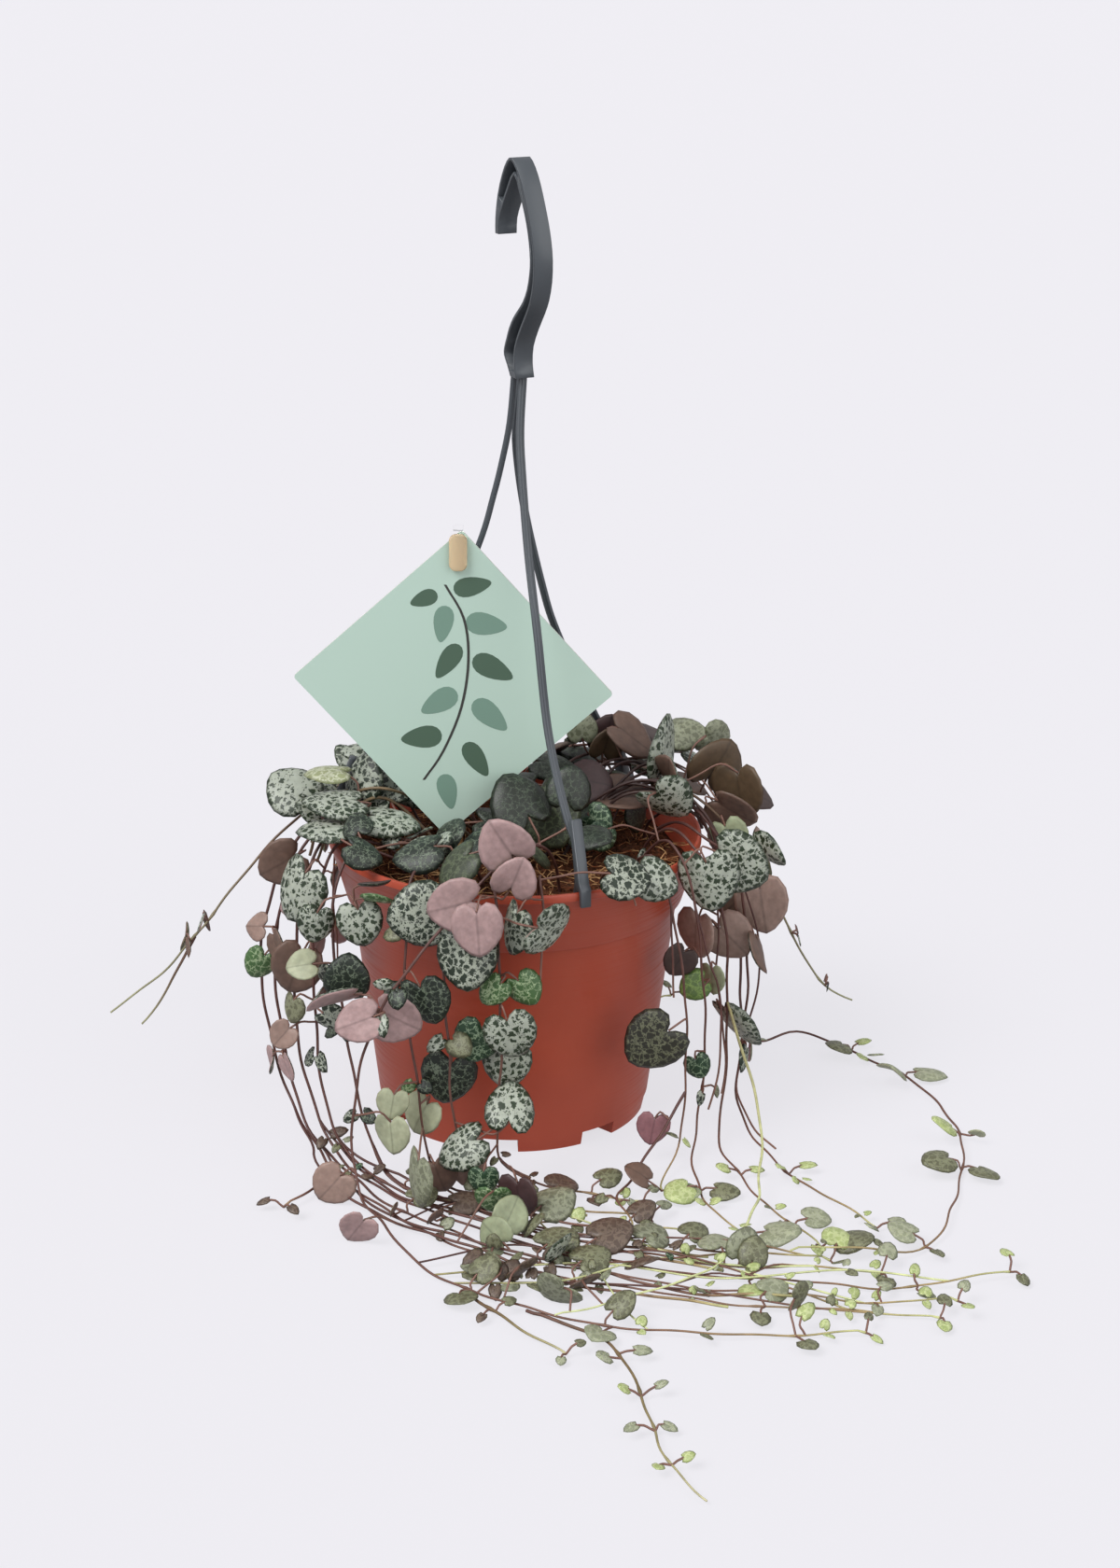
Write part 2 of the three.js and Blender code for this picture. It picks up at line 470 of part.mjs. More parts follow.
// The leaves that show most are placed one by one, and hang on the nearest stem that suits them:
// [x, y, z of the blade's middle, length, the way its tip points as seen from the front in degrees from
// straight down and positive to the right, degrees that the tip leans to the front, degrees that the
// blade is turned about its own length, and 1 for the upper side or -1 for the lower side in front].
const PLACED_LEAVES = [
  // Over the front of the rim.
  [-3, -67, 114, 17, -149, 10, 0, -1], [0, -67, 103, 14, 160, 10, 0, -1],
  [-17, -68, 95, 17, -75, 0, 10, -1], [-11, -73, 90, 16.5, 4, 0, 0, -1],
  [-28, -64, 90, 19, -80, 0, 15, 1], [-14, -70, 79, 19, 0, 20, 0, 1],
  [0, -69, 88, 16, -12, 0, 62, 1], [10, -69, 88, 18, 62, -45, 0, 1],
  // Down the front of the pot.
  [-27, -68, 64, 16, 20, 0, 20, 1], [-6, -68, 67, 10.5, -40, 0, 15, 1], [3, -69, 68, 11.5, 35, 0, 0, 1],
  [-11, -69, 51, 14, -20, 0, 0, 1], [-1, -73, 55, 16, 15, 0, 0, 1], [-2, -68, 42, 15, 0, 0, 0, 1],
  [-20, -66, 37, 17, -10, 0, 0, 1], [-1, -70, 29, 17, 172, -48, 0, 1], [-15, -72, 17, 17, -57, 0, 52, 1],
  [-14, -74, 11, 13, 0, 0, 0, -1], [-29, -90, 15, 18, -5, 0, 66, 1], [-23, -76, 9, 12, 20, 0, 0, -1],
  [-37, -72, 31, 10, -10, 0, 0, -1], [-37, -74, 22, 12.5, 8, 0, 30, -1], [-28, -68, 25, 13, -25, 0, 35, -1],
  [-36, -78, 62, 16, 62, 0, 0, -1], [-46, -78, 61, 14.5, -68, 0, 25, -1], [-54, -70, 65, 17, -75, 0, -58, -1],
  [-51, -62, 68, 14, 175, 0, 0, 1], [-56, -60, 54, 10, 60, 0, 20, 1],
  // Down the left side.
  [-47, -58, 85, 14, 10, 15, 0, 1], [-42, -60, 93, 11, 80, 0, 62, 1], [-43, -57, 97, 10, 90, 0, 66, 1],
  [-61, -52, 82, 12.5, -10, 0, 0, 1], [-67, -36, 87, 20, -22, 0, 45, 1], [-73, -18, 89, 15.5, -60, 0, 0, -1],
  [-68, -36, 61, 17, -20, 0, 10, -1], [-65, -50, 67, 10, -80, 0, 35, -1], [-69, -46, 51, 9.5, -10, 0, 45, 1],
  [-72, -44, 41, 9.5, -40, 0, 20, -1], [-81, -22, 56, 11, -30, 0, 0, 1],
  // The crown, left of the card.
  [-51, 14, 116, 11, -80, 0, 78, 1], [-59, 5, 111, 15, -92, 0, 88, 1],
  [-49, 12, 106, 13, 10, 25, 30, 1], [-56, -10, 106, 20, -90, 10, 84, 1], [-40, -20, 104, 19, 85, 10, -80, 1],
  [-58, -25, 103, 19, -88, 0, 86, 1], [-47, -37, 100, 13, 60, 0, -62, 1], [-29, -39, 101, 16, -70, 0, 66, 1],
  [-17, -52, 102, 16, -48, 0, 62, 1], [-10, -30, 100, 15, -60, 20, 60, 1],
  // The crown, behind the card and the front strap.
  [10, -8, 102, 22, 30, 30, 0, 1], [-6, -12, 99, 16, 70, 0, -60, 1], [0, 12, 104, 17, -80, 0, 70, 1],
  [12, 24, 107, 16, 80, 10, -70, 1], [21, 3, 99, 14, -70, 20, 60, 1], [34, 7, 102, 18, 85, 0, -70, -1],
  [24, 16, 104, 14, 80, 0, -40, -1], [30, 38, 113, 13, 165, 0, 0, -1], [37, 32, 114, 18, 48, 0, -62, -1],
  [22, 34, 116, 11, 180, 0, 0, 1], [26, -4, 98, 11, 60, 30, 0, 1], [28, -15, 97, 10, -40, 40, 0, 1],
  // The crown, right of the card.
  [48, 18, 114, 23, 180, 0, 68, 1], [48, -9, 107, 18, 48, -20, 20, 1], [56, 34, 115, 13, 90, 0, -55, 1],
  [65, 26, 116, 14, 60, -35, 0, 1], [65, 19, 109, 18, 150, 0, 20, -1],
  [73, 14, 103, 19, 10, 0, 35, -1], [70, 6, 99, 17, 60, 0, 30, -1], [69, 4, 90, 14, 20, 0, 0, -1],
  [33, -55, 99, 15, 75, 0, -50, 1], [43, -52, 97, 14, 62, 0, -38, 1],
  // Down the right side.
  [60, -33, 90, 20, 8, 0, 12, 1], [69, -30, 94, 20, 62, 15, 0, 1], [79, -15, 75, 19, 10, 0, 5, -1],
  [73, -12, 76, 17, -40, 0, 10, -1], [68, -24, 67, 15.5, 45, 0, 0, -1], [58, -26, 69, 16, 0, 0, 50, -1],
  [52, -34, 63, 11, -30, 0, 0, -1], [57, -36, 55, 10, -60, 0, 30, 1], [63, -30, 55, 10, 10, 0, 45, -1],
  [44, -52, 43, 19, -50, 0, 0, 1], [71, -28, 38, 20, 36, 0, 58, 1], [58, -42, 30, 9, 20, 0, 0, 1],
  [44, -54, 14, 10.5, -10, 0, 0, -1],
  // On the ground.
  [-55, -79, 7, 13, -40, 0, 10, -1], [-46, -104, 6, 13, -30, -25, 0, -1],
  [-9, -85, 12, 9, 0, 0, 0, 1], [-6, -94, 10, 10.5, 0, -20, 0, 1], [2, -96, 12, 13.5, 10, 0, 35, -1],
  [-1, -101, 8, 11.5, 150, -40, 0, -1], [-5, -110, 6, 11.5, -120, -40, 0, -1],
  [13, -140, 5, 13.5, -40, -40, 0, 1], [21, -133, 4, 10, 30, -50, 0, 1], [14, -122, 8, 10.5, 150, 0, 55, 1],
  [-5, -124, 4, 10.5, -60, -50, 0, 1], [3, -123, 4, 10.5, 40, -50, 0, 1], [68, -120, 8, 10.5, 160, -20, 0, 1],
  [82, -142, 5, 10, 80, -50, 0, 1],
];
// A placed leaf moves this far towards the front and up, in turn, until it is clear of the others.
const PLACING_SHIFTS = [0, 1.5, -1.5, 3, -3, 4.5, -4.5, 6, 7.5, 9];
const SHORTEST_STALK = 1.5;
const LONGEST_STALK = 28;
const STEMS_TRIED = 9;            // the nearest stems are tried first

const UP = new THREE.Vector3(0, 0, 1);
const FRONT = new THREE.Vector3(0, -1, 0);
const FRONT_AND_UP = new THREE.Vector3(0, -0.942, 0.337);
const LOW = 12;                   // below this a stem lies rather than hangs
const HIGH = POT_HEIGHT - 2;      // above this it lies over the soil and the rim

// The side of a stem that faces the light: away from the pot where it hangs, up and a little to the
// front elsewhere.
function lightSide(point) {
  const radial = new THREE.Vector3(point.x, point.y, 0).normalize();
  if (point.z > HIGH) radial.multiplyScalar(0.4).addScaledVector(FRONT, 0.4).add(UP);
  else if (point.z < LOW) radial.multiplyScalar(0.35).add(UP);
  else radial.addScaledVector(UP, 0.3);
  return radial.normalize();
}

// Where one leaf of a pair stands on one try. Each try turns it further and makes it a little smaller.
function leafPose(points, i, side, { length, face }, attempt, draw) {
  const before = points[Math.max(i - 1, 0)];
  const after = points[Math.min(i + 1, points.length - 1)];
  const along = after.clone().sub(before).normalize();
  const light = lightSide(points[i]);
  const across = along.clone().cross(light).normalize().multiplyScalar(side);
  const swing = rad((LEAF_SWING_DEG + SWING_PER_TRY_DEG * attempt) * (2 * draw() - 1));
  const lift = rad((LEAF_LIFT_DEG + LIFT_PER_TRY_DEG * attempt) * (2 * draw() - 1));
  const size = length * (1 - SHRINK_PER_TRY * attempt) * (1 + 0.2 * draw());
  const stalk = 2.4 + 0.16 * size + 1.5 * draw();
  const hanging = points[i].z >= LOW && points[i].z <= HIGH;
  const tip = across.clone();
  if (hanging) tip.multiplyScalar(0.75).addScaledVector(UP, -0.85);
  else tip.addScaledVector(along, 0.45);
  tip.normalize().applyAxisAngle(light, swing).normalize();
  const hinge = tip.clone().cross(light).normalize();
  tip.applyAxisAngle(hinge, lift);
  const normal = light.clone().addScaledVector(tip, -light.dot(tip)).normalize();
  const base = points[i].clone();
  base.addScaledVector(across, 0.8 * stalk).addScaledVector(light, 0.55 * stalk);
  base.addScaledVector(along, 0.2 * stalk);
  return { base, tip, normal: normal.multiplyScalar(face), size };
}

// The heart's outline: distance from the blade's middle at an angle from its tip, for a length of 1.
const HEART = [[0, 0.58], [45, 0.49], [90, 0.52], [135, 0.57], [172, 0.3]];
const BLADE_MIDDLE = 0.42;
const STALK_HALF = 0.7;           // half the width of a leaf stalk, drawn stout
const STALK_KEEL = 1.1;           // how far its lower edge lies under the notch
const PLUMPNESS = 0.065;          // half a blade's thickness, for its length
const THINNEST_HALF = 0.3;
const CUP = 0.45;                 // how far a blade's sides droop

// Where a leaf of the table above stands, moved by one of its shifts.
function placedPose([x, y, z, size, aim, lean, turn, face], shift) {
  const tip = new THREE.Vector3(Math.sin(rad(aim)), 0, -Math.cos(rad(aim)));
  const normal = FRONT.clone();
  const hinge = tip.clone().cross(normal).normalize();
  tip.applyAxisAngle(hinge, rad(lean));
  normal.applyAxisAngle(hinge, rad(lean)).applyAxisAngle(tip, rad(turn)).multiplyScalar(face);
  const base = new THREE.Vector3(x, y, z).addScaledVector(FRONT_AND_UP, shift);
  return { base: base.addScaledVector(tip, -BLADE_MIDDLE * size), tip, normal, size };
}

// Whether a stalk can leave a leaf's notch for a place on a stem without folding over the blade.
function stalkSuits({ base, tip, normal }, stemPlace) {
  const run = stemPlace.clone().sub(base);
  const length = run.length();
  const across = normal.clone().cross(tip);
  const mostForward = 0.4;
  const mostSideways = 0.95;
  return length > SHORTEST_STALK && length < LONGEST_STALK && run.dot(tip) < mostForward * length
    && Math.abs(run.dot(across)) < mostSideways * length;
}

// The corners of a leaf's edge, from its tip round to the tip again, as [x, y] for its size.
function heartEdge(size) {
  const side = HEART.map(([degrees, reach]) => [
    (BLADE_MIDDLE + reach * Math.cos(rad(degrees))) * size, reach * Math.sin(rad(degrees)) * size]);
  side[HEART.length - 1][1] = STALK_HALF;
  const mirrored = side.slice(1).reverse().map(([x, y]) => [x, -y]);
  return [...side, ...mirrored];
}

// A fleshy leaf: an upper and a lower fan of faces on one heart-shaped edge. Where it is given a place
// on a stem, three more sides run there from its notch, as its stalk.
function makeLeaf({ base, tip, normal, size }, stemPlace) {
  const across = normal.clone().cross(tip);
  const at = (x, y, z) => base.clone().addScaledVector(tip, x).addScaledVector(across, y)
    .addScaledVector(normal, z);
  const half = PLUMPNESS * size + THINNEST_HALF;
  const edge = heartEdge(size);
  const count = edge.length;
  const [TOP, BOTTOM, FIRST] = [0, 1, 2];
  const points = [at(BLADE_MIDDLE * size, 0, half), at(BLADE_MIDDLE * size, 0, -half)];
  for (const [x, y] of edge) points.push(at(x, y, -CUP * (y * y) / size));
  const notch = FIRST + HEART.length - 1;
  const faces = [];
  for (let i = 0; i < count; i += 1) {
    const here = FIRST + i;
    const next = FIRST + ((i + 1) % count);
    faces.push([TOP, here, next]);
    if (here !== notch || !stemPlace) faces.push([BOTTOM, next, here]);
  }
  if (stemPlace) {
    const [left, right] = [notch, notch + 1];
    const run = stemPlace.clone().sub(base).normalize();
    const wide = across.clone().addScaledVector(run, -across.dot(run)).normalize();
    const deep = run.clone().cross(wide).multiplyScalar(-1);
    const below = points.push(at(edge[HEART.length - 1][0], 0, -STALK_KEEL)) - 1;
    const leftEnd = points.push(stemPlace.clone().addScaledVector(wide, STALK_HALF)) - 1;
    const rightEnd = points.push(stemPlace.clone().addScaledVector(wide, -STALK_HALF)) - 1;
    const belowEnd = points.push(stemPlace.clone().addScaledVector(deep, -STALK_HALF)) - 1;
    faces.push([BOTTOM, below, left], [BOTTOM, right, below]);
    faces.push([left, leftEnd, rightEnd], [left, rightEnd, right]);
    faces.push([leftEnd, left, below], [leftEnd, below, belowEnd]);
    faces.push([right, rightEnd, belowEnd], [right, belowEnd, below]);
    faces.push([rightEnd, leftEnd, belowEnd]);
  }
  const leaf = new THREE.BufferGeometry().setFromPoints(points);
  leaf.setIndex(faces.flat());
  return solidOf(leaf);
}

function stemPoints(vine) {
  const points = vine.route.map(([x, y, z]) => new THREE.Vector3(x, y, z));
  if (!vine.root) return points;
  const [x, y] = vine.root;
  return [new THREE.Vector3(x, y, SOIL_TOP - 6), new THREE.Vector3(x, y, SOIL_TOP + 4), ...points];
}

// A stem's curve, and the number of straight stretches that it is made of.
function stemCurve(vine) {
  const curve = smooth(stemPoints(vine));
  return { curve, steps: Math.max(2, Math.round(curve.getLength() / STEM_STEP)) };
}

function makeStem(vine) {
  const { curve, steps } = stemCurve(vine);
  return swept(regular(3, STEM_RADIUS), curve, steps);
}

// The place inside a stem's straight stretches that is nearest to a point of its route.
function nearestOnStem(vine, point) {
  const { curve, steps } = stemCurve(vine);
  const corners = curve.getSpacedPoints(steps);
  const places = corners.slice(1).map((corner, i) => new THREE.Line3(corners[i], corner)
    .closestPointToPoint(point, true, new THREE.Vector3()));
  places.sort((a, b) => a.distanceTo(point) - b.distanceTo(point));
  return places[0];
}

function near(a, b, reach) {
  for (let k = 0; k < 3; k += 1) {
    if (a.min[k] - reach > b.max[k] || b.min[k] - reach > a.max[k]) return false;
  }
  return true;
}

// All leafy stems: every stem first, then leaf pairs, each leaf in the first place where it is clear.
function makePlant(fixed) {
  const strands = [...VINES, ...BRANCHES];
  const standing = fixed.map((solid) => ({ solid, box: solid.boundingBox(), node: "" }));
  for (const strand of strands) {
    const solid = makeStem(strand);
    standing.push({ solid, box: solid.boundingBox(), node: strand.node, stem: true });
  }
  const parts = new Map(VINES.map((vine) => [vine.node, []]));
  for (const item of standing) if (item.stem) parts.get(item.node).push(item.solid);
  const clear = (solid, box, skip) => standing.every((item) => skip(item)
    || !near(item.box, box, LEAF_CLEARANCE) || item.solid.minGap(solid, 1) > LEAF_CLEARANCE);
  // Stands a leaf on a stem's place if it is clear of everything but its own node.
  const stand = (pose, node, stemPlace) => {
    const blade = makeLeaf(pose);
    const bladeBox = blade.boundingBox();
    if (bladeBox.min[2] < GROUND_CLEARANCE) return false;
    if (!clear(blade, bladeBox, () => false)) return false;
    const leaf = makeLeaf(pose, stemPlace);
    const leafBox = leaf.boundingBox();
    if (!clear(leaf, leafBox, (item) => item.node === node)) return false;
    standing.push({ solid: leaf, box: leafBox, node });
    parts.get(node).push(leaf);
    return true;
  };
  for (const entry of PLACED_LEAVES) {
    PLACING_SHIFTS.some((shift) => {
      const pose = placedPose(entry, shift);
      const reached = strands.map(({ node }, i) => ({ node, place: nearestOnStem(strands[i], pose.base) }))
        .filter(({ place }) => stalkSuits(pose, place))
        .sort((a, b) => a.place.distanceTo(pose.base) - b.place.distanceTo(pose.base));
      return reached.slice(0, STEMS_TRIED).some(({ node, place }) => stand(pose, node, place));
    });
  }
  strands.forEach((strand, index) => {
    const points = stemPoints(strand);
    const offset = points.length - strand.route.length;
    strand.route.forEach(([, , , length, face = 1], k) => {
      if (!length || length < SMALLEST_LEAF) return;
      const kind = { length, face };
      const stemPlace = nearestOnStem(strand, points[k + offset]);
      for (const side of [-1, 1]) {
        const draw = seededDraw(1000 * index + 10 * k + side);
        let placed = false;
        for (let attempt = 0; attempt < LEAF_TRIES && !placed; attempt += 1) {
          const pose = leafPose(points, k + offset, side, kind, attempt, draw);
          placed = stand(pose, strand.node, stemPlace);
        }
      }
    });
  });
  const plant = new THREE.Group();
  for (const [node, solids] of parts) {
    const bodies = wasm.Manifold.union(solids).asOriginal().simplify(MERGE_WITHIN).decompose();
    bodies.sort((a, b) => b.volume() - a.volume());
    plant.add(piece(node, bodies[0], materials.foliage));
  }
  return plant;
}

// ---------------------------------------------------------------- the whole part

const pot = makePot();
const stems = VINES.filter((vine) => vine.root).map(({ root }) => [root[0], root[1], STEM_RADIUS]);
const soil = makeSoil([...stems, [STICK.x, STICK.y, STICK.radius]]);
const hook = makeHook();
const straps = Object.keys(STRAP_AZIMUTHS).map((side) => [side, makeStrap(side)]);
const card = makeCard();
const stick = makeStick();
const clip = makeClip();

const holder = new THREE.Group();
holder.add(piece("pot", pot, materials.pot));
holder.add(piece("soil", soil, materials.soil));

const hanger = new THREE.Group();
hanger.add(piece("hanger_hook", hook, materials.hanger));
for (const [side, strap] of straps) hanger.add(piece(`hanger_strap_${side}`, strap, materials.hanger));

const label = new THREE.Group();
label.add(piece("care_card", card, materials.card));
label.add(piece("card_stick", stick, materials.stick));
label.add(piece("card_clip", clip, materials.clip));

const stringOfHearts = new THREE.Group();
stringOfHearts.add(holder, hanger, label);
stringOfHearts.add(makePlant([pot, soil, hook, card, stick, clip, ...straps.map(([, strap]) => strap)]));

export default stringOfHearts;
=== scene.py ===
"""A string of hearts in a hanging pot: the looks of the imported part.

The tables and the shape functions are in millimetres, in the part's own frame: the pot stands on the
plane z = 0 with its axis on the z axis, and the front is -Y. Meshes are made in metres.
"""

import math
import random

import bmesh
import bpy
from mathutils import Matrix, Vector, kdtree


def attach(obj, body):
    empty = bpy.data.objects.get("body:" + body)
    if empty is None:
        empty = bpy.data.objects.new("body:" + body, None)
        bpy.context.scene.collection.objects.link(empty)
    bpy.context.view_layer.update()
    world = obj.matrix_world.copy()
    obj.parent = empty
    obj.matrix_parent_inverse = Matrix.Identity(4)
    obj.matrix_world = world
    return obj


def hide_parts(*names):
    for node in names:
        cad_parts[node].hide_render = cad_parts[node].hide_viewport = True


MM = 0.001
UP = Vector((0, 0, 1))
FRONT = Vector((0, -1, 0))

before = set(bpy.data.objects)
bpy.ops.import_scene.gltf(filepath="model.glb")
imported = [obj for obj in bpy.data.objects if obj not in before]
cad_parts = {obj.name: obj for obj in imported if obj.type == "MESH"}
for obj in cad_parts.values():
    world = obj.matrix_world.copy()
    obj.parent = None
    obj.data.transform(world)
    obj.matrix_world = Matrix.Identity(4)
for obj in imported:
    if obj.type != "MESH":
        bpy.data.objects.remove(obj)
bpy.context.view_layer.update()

# ---------------------------------------------------------------- small tools


def linear(code):
    """An sRGB hex colour as linear red, green, blue and alpha."""
    parts = [int(code[i:i + 2], 16) / 255 for i in (1, 3, 5)]
    curve = [c / 12.92 if c <= 0.04045 else ((c + 0.055) / 1.055) ** 2.4 for c in parts]
    return (*curve, 1.0)


def fill(tree, node, inputs):
    """Fills the inputs of a node by name, identifier or number.

    An input takes a plain value, a node, whose first live output it is joined to, or a node and the
    name of an output.
    """
    for key, value in inputs.items():
        if isinstance(key, int):
            socket = node.inputs[key]
        else:
            socket = next(s for s in node.inputs if key in (s.identifier, s.name))
        source, output = value if isinstance(value, tuple) and len(value) == 2 else (value, None)
        if isinstance(source, bpy.types.Node):
            live = [s for s in source.outputs if s.enabled and output in (None, s.name)]
            tree.links.new(live[0], socket)
        else:
            socket.default_value = value


def add_node(tree, kind, inputs=None, **settings):
    """Adds a node with its settings, and fills its inputs."""
    node = tree.nodes.new(kind)
    for name, value in settings.items():
        setattr(node, name, value)
    fill(tree, node, inputs or {})
    return node


def finish_with(name, colour, roughness, **shader):
    """A material with one shader. Returns it, its node tree and the shader."""
    material = bpy.data.materials.new(name)
    material.use_nodes = True
    tree = material.node_tree
    tree.nodes.clear()
    inputs = {"Base Color": linear(colour), "Roughness": roughness}
    inputs.update({key.replace("_", " "): value for key, value in shader.items()})
    skin = add_node(tree, "ShaderNodeBsdfPrincipled", inputs)
    add_node(tree, "ShaderNodeOutputMaterial", {"Surface": skin})
    return material, tree, skin


def as_object(name, data, collection=None):
    """Puts a mesh, a lamp or a camera into the scene, or into a collection, as an object."""
    thing = bpy.data.objects.new(name, data)
    home = bpy.context.scene.collection if collection is None else collection
    home.objects.link(thing)
    return thing


def mesh_object(name, corners, faces, materials=(), smooth=True):
    """A mesh object from corners in millimetres."""
    mesh = bpy.data.meshes.new(name)
    mesh.from_pydata([Vector(c) * MM for c in corners], [], faces)
    for material in materials:
        mesh.materials.append(material)
    mesh.polygons.foreach_set("use_smooth", [smooth] * len(mesh.polygons))
    mesh.update()
    return as_object(name, mesh)


def mesh_from(name, bm):
    """The mesh that was made in a bmesh, which is freed."""
    mesh = bpy.data.meshes.new(name)
    bm.to_mesh(mesh)
    bm.free()
    return mesh


def carry(mesh, name, kind, values, domain="POINT"):
    """Stores a number, vector or colour on each point or face of a mesh."""
    field = {"FLOAT_VECTOR": "vector", "FLOAT_COLOR": "color"}.get(kind, "value")
    flat = values if field == "value" else [v for value in values for v in value]
    mesh.attributes.new(name, kind, domain).data.foreach_set(field, flat)


def outward(thing, merge=0.01):
    """Joins the doubled corners of a closed mesh and turns its faces outwards."""
    bm = bmesh.new()
    bm.from_mesh(thing.data)
    bmesh.ops.remove_doubles(bm, verts=bm.verts, dist=merge * MM)
    bmesh.ops.recalc_face_normals(bm, faces=bm.faces)
    bm.to_mesh(thing.data)
    bm.free()
    return thing


def bevelled(thing, width, segments=3, angle=35):
    """Rounds the sharp edges of a piece."""
    bevel = thing.modifiers.new("rounded edges", "BEVEL")
    bevel.width = width * MM
    bevel.segments = segments
    bevel.limit_method = "ANGLE"
    bevel.angle_limit = math.radians(angle)
    bevel.harden_normals = True
    return settled(thing)


def settled(thing):
    """Applies the modifiers of an object."""
    shown = thing.evaluated_get(bpy.context.evaluated_depsgraph_get())
    mesh = bpy.data.meshes.new_from_object(shown)
    thing.modifiers.clear()
    thing.data = mesh
    return thing


def cut_away(thing, cutter):
    """Cuts one piece out of another, and removes it."""
    cut = thing.modifiers.new("cut", "BOOLEAN")
    cut.object = cutter
    settled(thing)
    bpy.data.objects.remove(cutter)
    return thing


def geometry_tree(name, result, sockets):
    """A geometry node tree with named inputs and one result. Returns it and the node of its inputs."""
    tree = bpy.data.node_groups.new(name, "GeometryNodeTree")
    for label, kind in sockets.items():
        tree.interface.new_socket(label, in_out="INPUT", socket_type=f"NodeSocket{kind}")
    tree.interface.new_socket(result, in_out="OUTPUT", socket_type="NodeSocketGeometry")
    return tree, add_node(tree, "NodeGroupInput")


def through_tree(name, start, tree, values):
    """Runs a node tree on an object with its named inputs, and returns the result as a new piece."""
    nodes = start.modifiers.new("growth", "NODES")
    nodes.node_group = tree
    for item in tree.interface.items_tree:
        if item.item_type == "SOCKET" and item.in_out == "INPUT" and item.name in values:
            nodes[item.identifier] = values[item.name]
    start.update_tag()
    bpy.context.view_layer.update()
    shown = start.evaluated_get(bpy.context.evaluated_depsgraph_get())
    mesh = bpy.data.meshes.new_from_object(shown)
    start.modifiers.remove(nodes)
    mesh.name = name
    return as_object(name, mesh)


def joined(name, things):
    """Several mesh objects as one."""
    bpy.ops.object.select_all(action="DESELECT")
    for thing in things:
        thing.select_set(True)
    bpy.context.view_layer.objects.active = things[0]
    bpy.ops.object.join()
    things[0].select_set(False)
    things[0].name = name
    return things[0]


def belongs(thing, slot, *nodes):
    """Makes a finished piece part of the object, in the place of its CAD nodes."""
    if nodes:
        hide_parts(*nodes)
    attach(thing, "root")
    return thing


def curve_points(points, step):
    """Points about a step apart on the even Catmull-Rom curve through the points of a route."""
    ends = [points[0] * 2 - points[1], *points, points[-1] * 2 - points[-2]]
    line = []
    for before, here, after, last in zip(ends, ends[1:], ends[2:], ends[3:]):
        count = max(2, round((after - here).length / step))
        for i in range(count):
            t = i / count
            line.append(0.5 * (2 * here + (after - before) * t
                               + (2 * before - 5 * here + 4 * after - last) * t * t
                               + (3 * here - before - 3 * after + last) * t ** 3))
    return [*line, points[-1].copy()]


def around(azimuth, radius, z):
    """A place round the pot's axis. Azimuth 0 is the front, and it turns to the right."""
    angle = math.radians(azimuth)
    return Vector((radius * math.sin(angle), -radius * math.cos(angle), z))


# ---------------------------------------------------------------- finishes

FOLIAGE_PORE = 0.35   # mm: a leaf's cells are finer, and are drawn as coarse as they need to show


def span(from_low, from_high, to_low=0.0, to_high=1.0):
    """The ends of a range and of the range that it is mapped to, as a node's inputs."""
    return {"From Min": from_low, "From Max": from_high, "To Min": to_low, "To Max": to_high}


def grain(tree, per_mm, stretch=None, **inputs):
    """A noise over a piece's own coordinates, with its lumps per millimetre. A stretch below 1 draws it
    out along an axis."""
    where = (add_node(tree, "ShaderNodeTexCoord"), "Object")
    if stretch:
        where = add_node(tree, "ShaderNodeMapping", {"Vector": where, "Scale": stretch})
    return add_node(tree, "ShaderNodeTexNoise", {"Vector": where, "Scale": per_mm / MM, **inputs})


def two_tone(tree, skin, share, dark, pale):
    """Colours a finish from a dark to a pale tone by a share."""
    tint = add_node(tree, "ShaderNodeMix", {"Factor": share, "A_Color": linear(dark),
                                            "B_Color": linear(pale)}, data_type="RGBA")
    fill(tree, skin, {"Base Color": tint})


def relief(tree, skin, height, strength, depth):
    """Gives a finish a relief, its depth in millimetres."""
    bump = add_node(tree, "ShaderNodeBump", {"Height": height, "Strength": strength,
                                             "Distance": depth * MM})
    fill(tree, skin, {"Normal": bump})


def carried(tree, *names):
    """The values that the corners of a plant carry, each as a node."""
    return [add_node(tree, "ShaderNodeAttribute", attribute_name=name) for name in names]


def on_leaf(tree):
    """A place on a blade as a share of its length, and in millimetres, moved by each leaf's own seed."""
    place, size, seed = carried(tree, "leaf_place", "leaf_size", "leaf_seed")
    grown = add_node(tree, "ShaderNodeVectorMath", {0: (place, "Vector"), 3: (size, "Fac")},
                     operation="SCALE")
    lifted = add_node(tree, "ShaderNodeCombineXYZ", {"Z": (seed, "Fac")})
    return place, add_node(tree, "ShaderNodeVectorMath", {0: grown, 1: lifted})


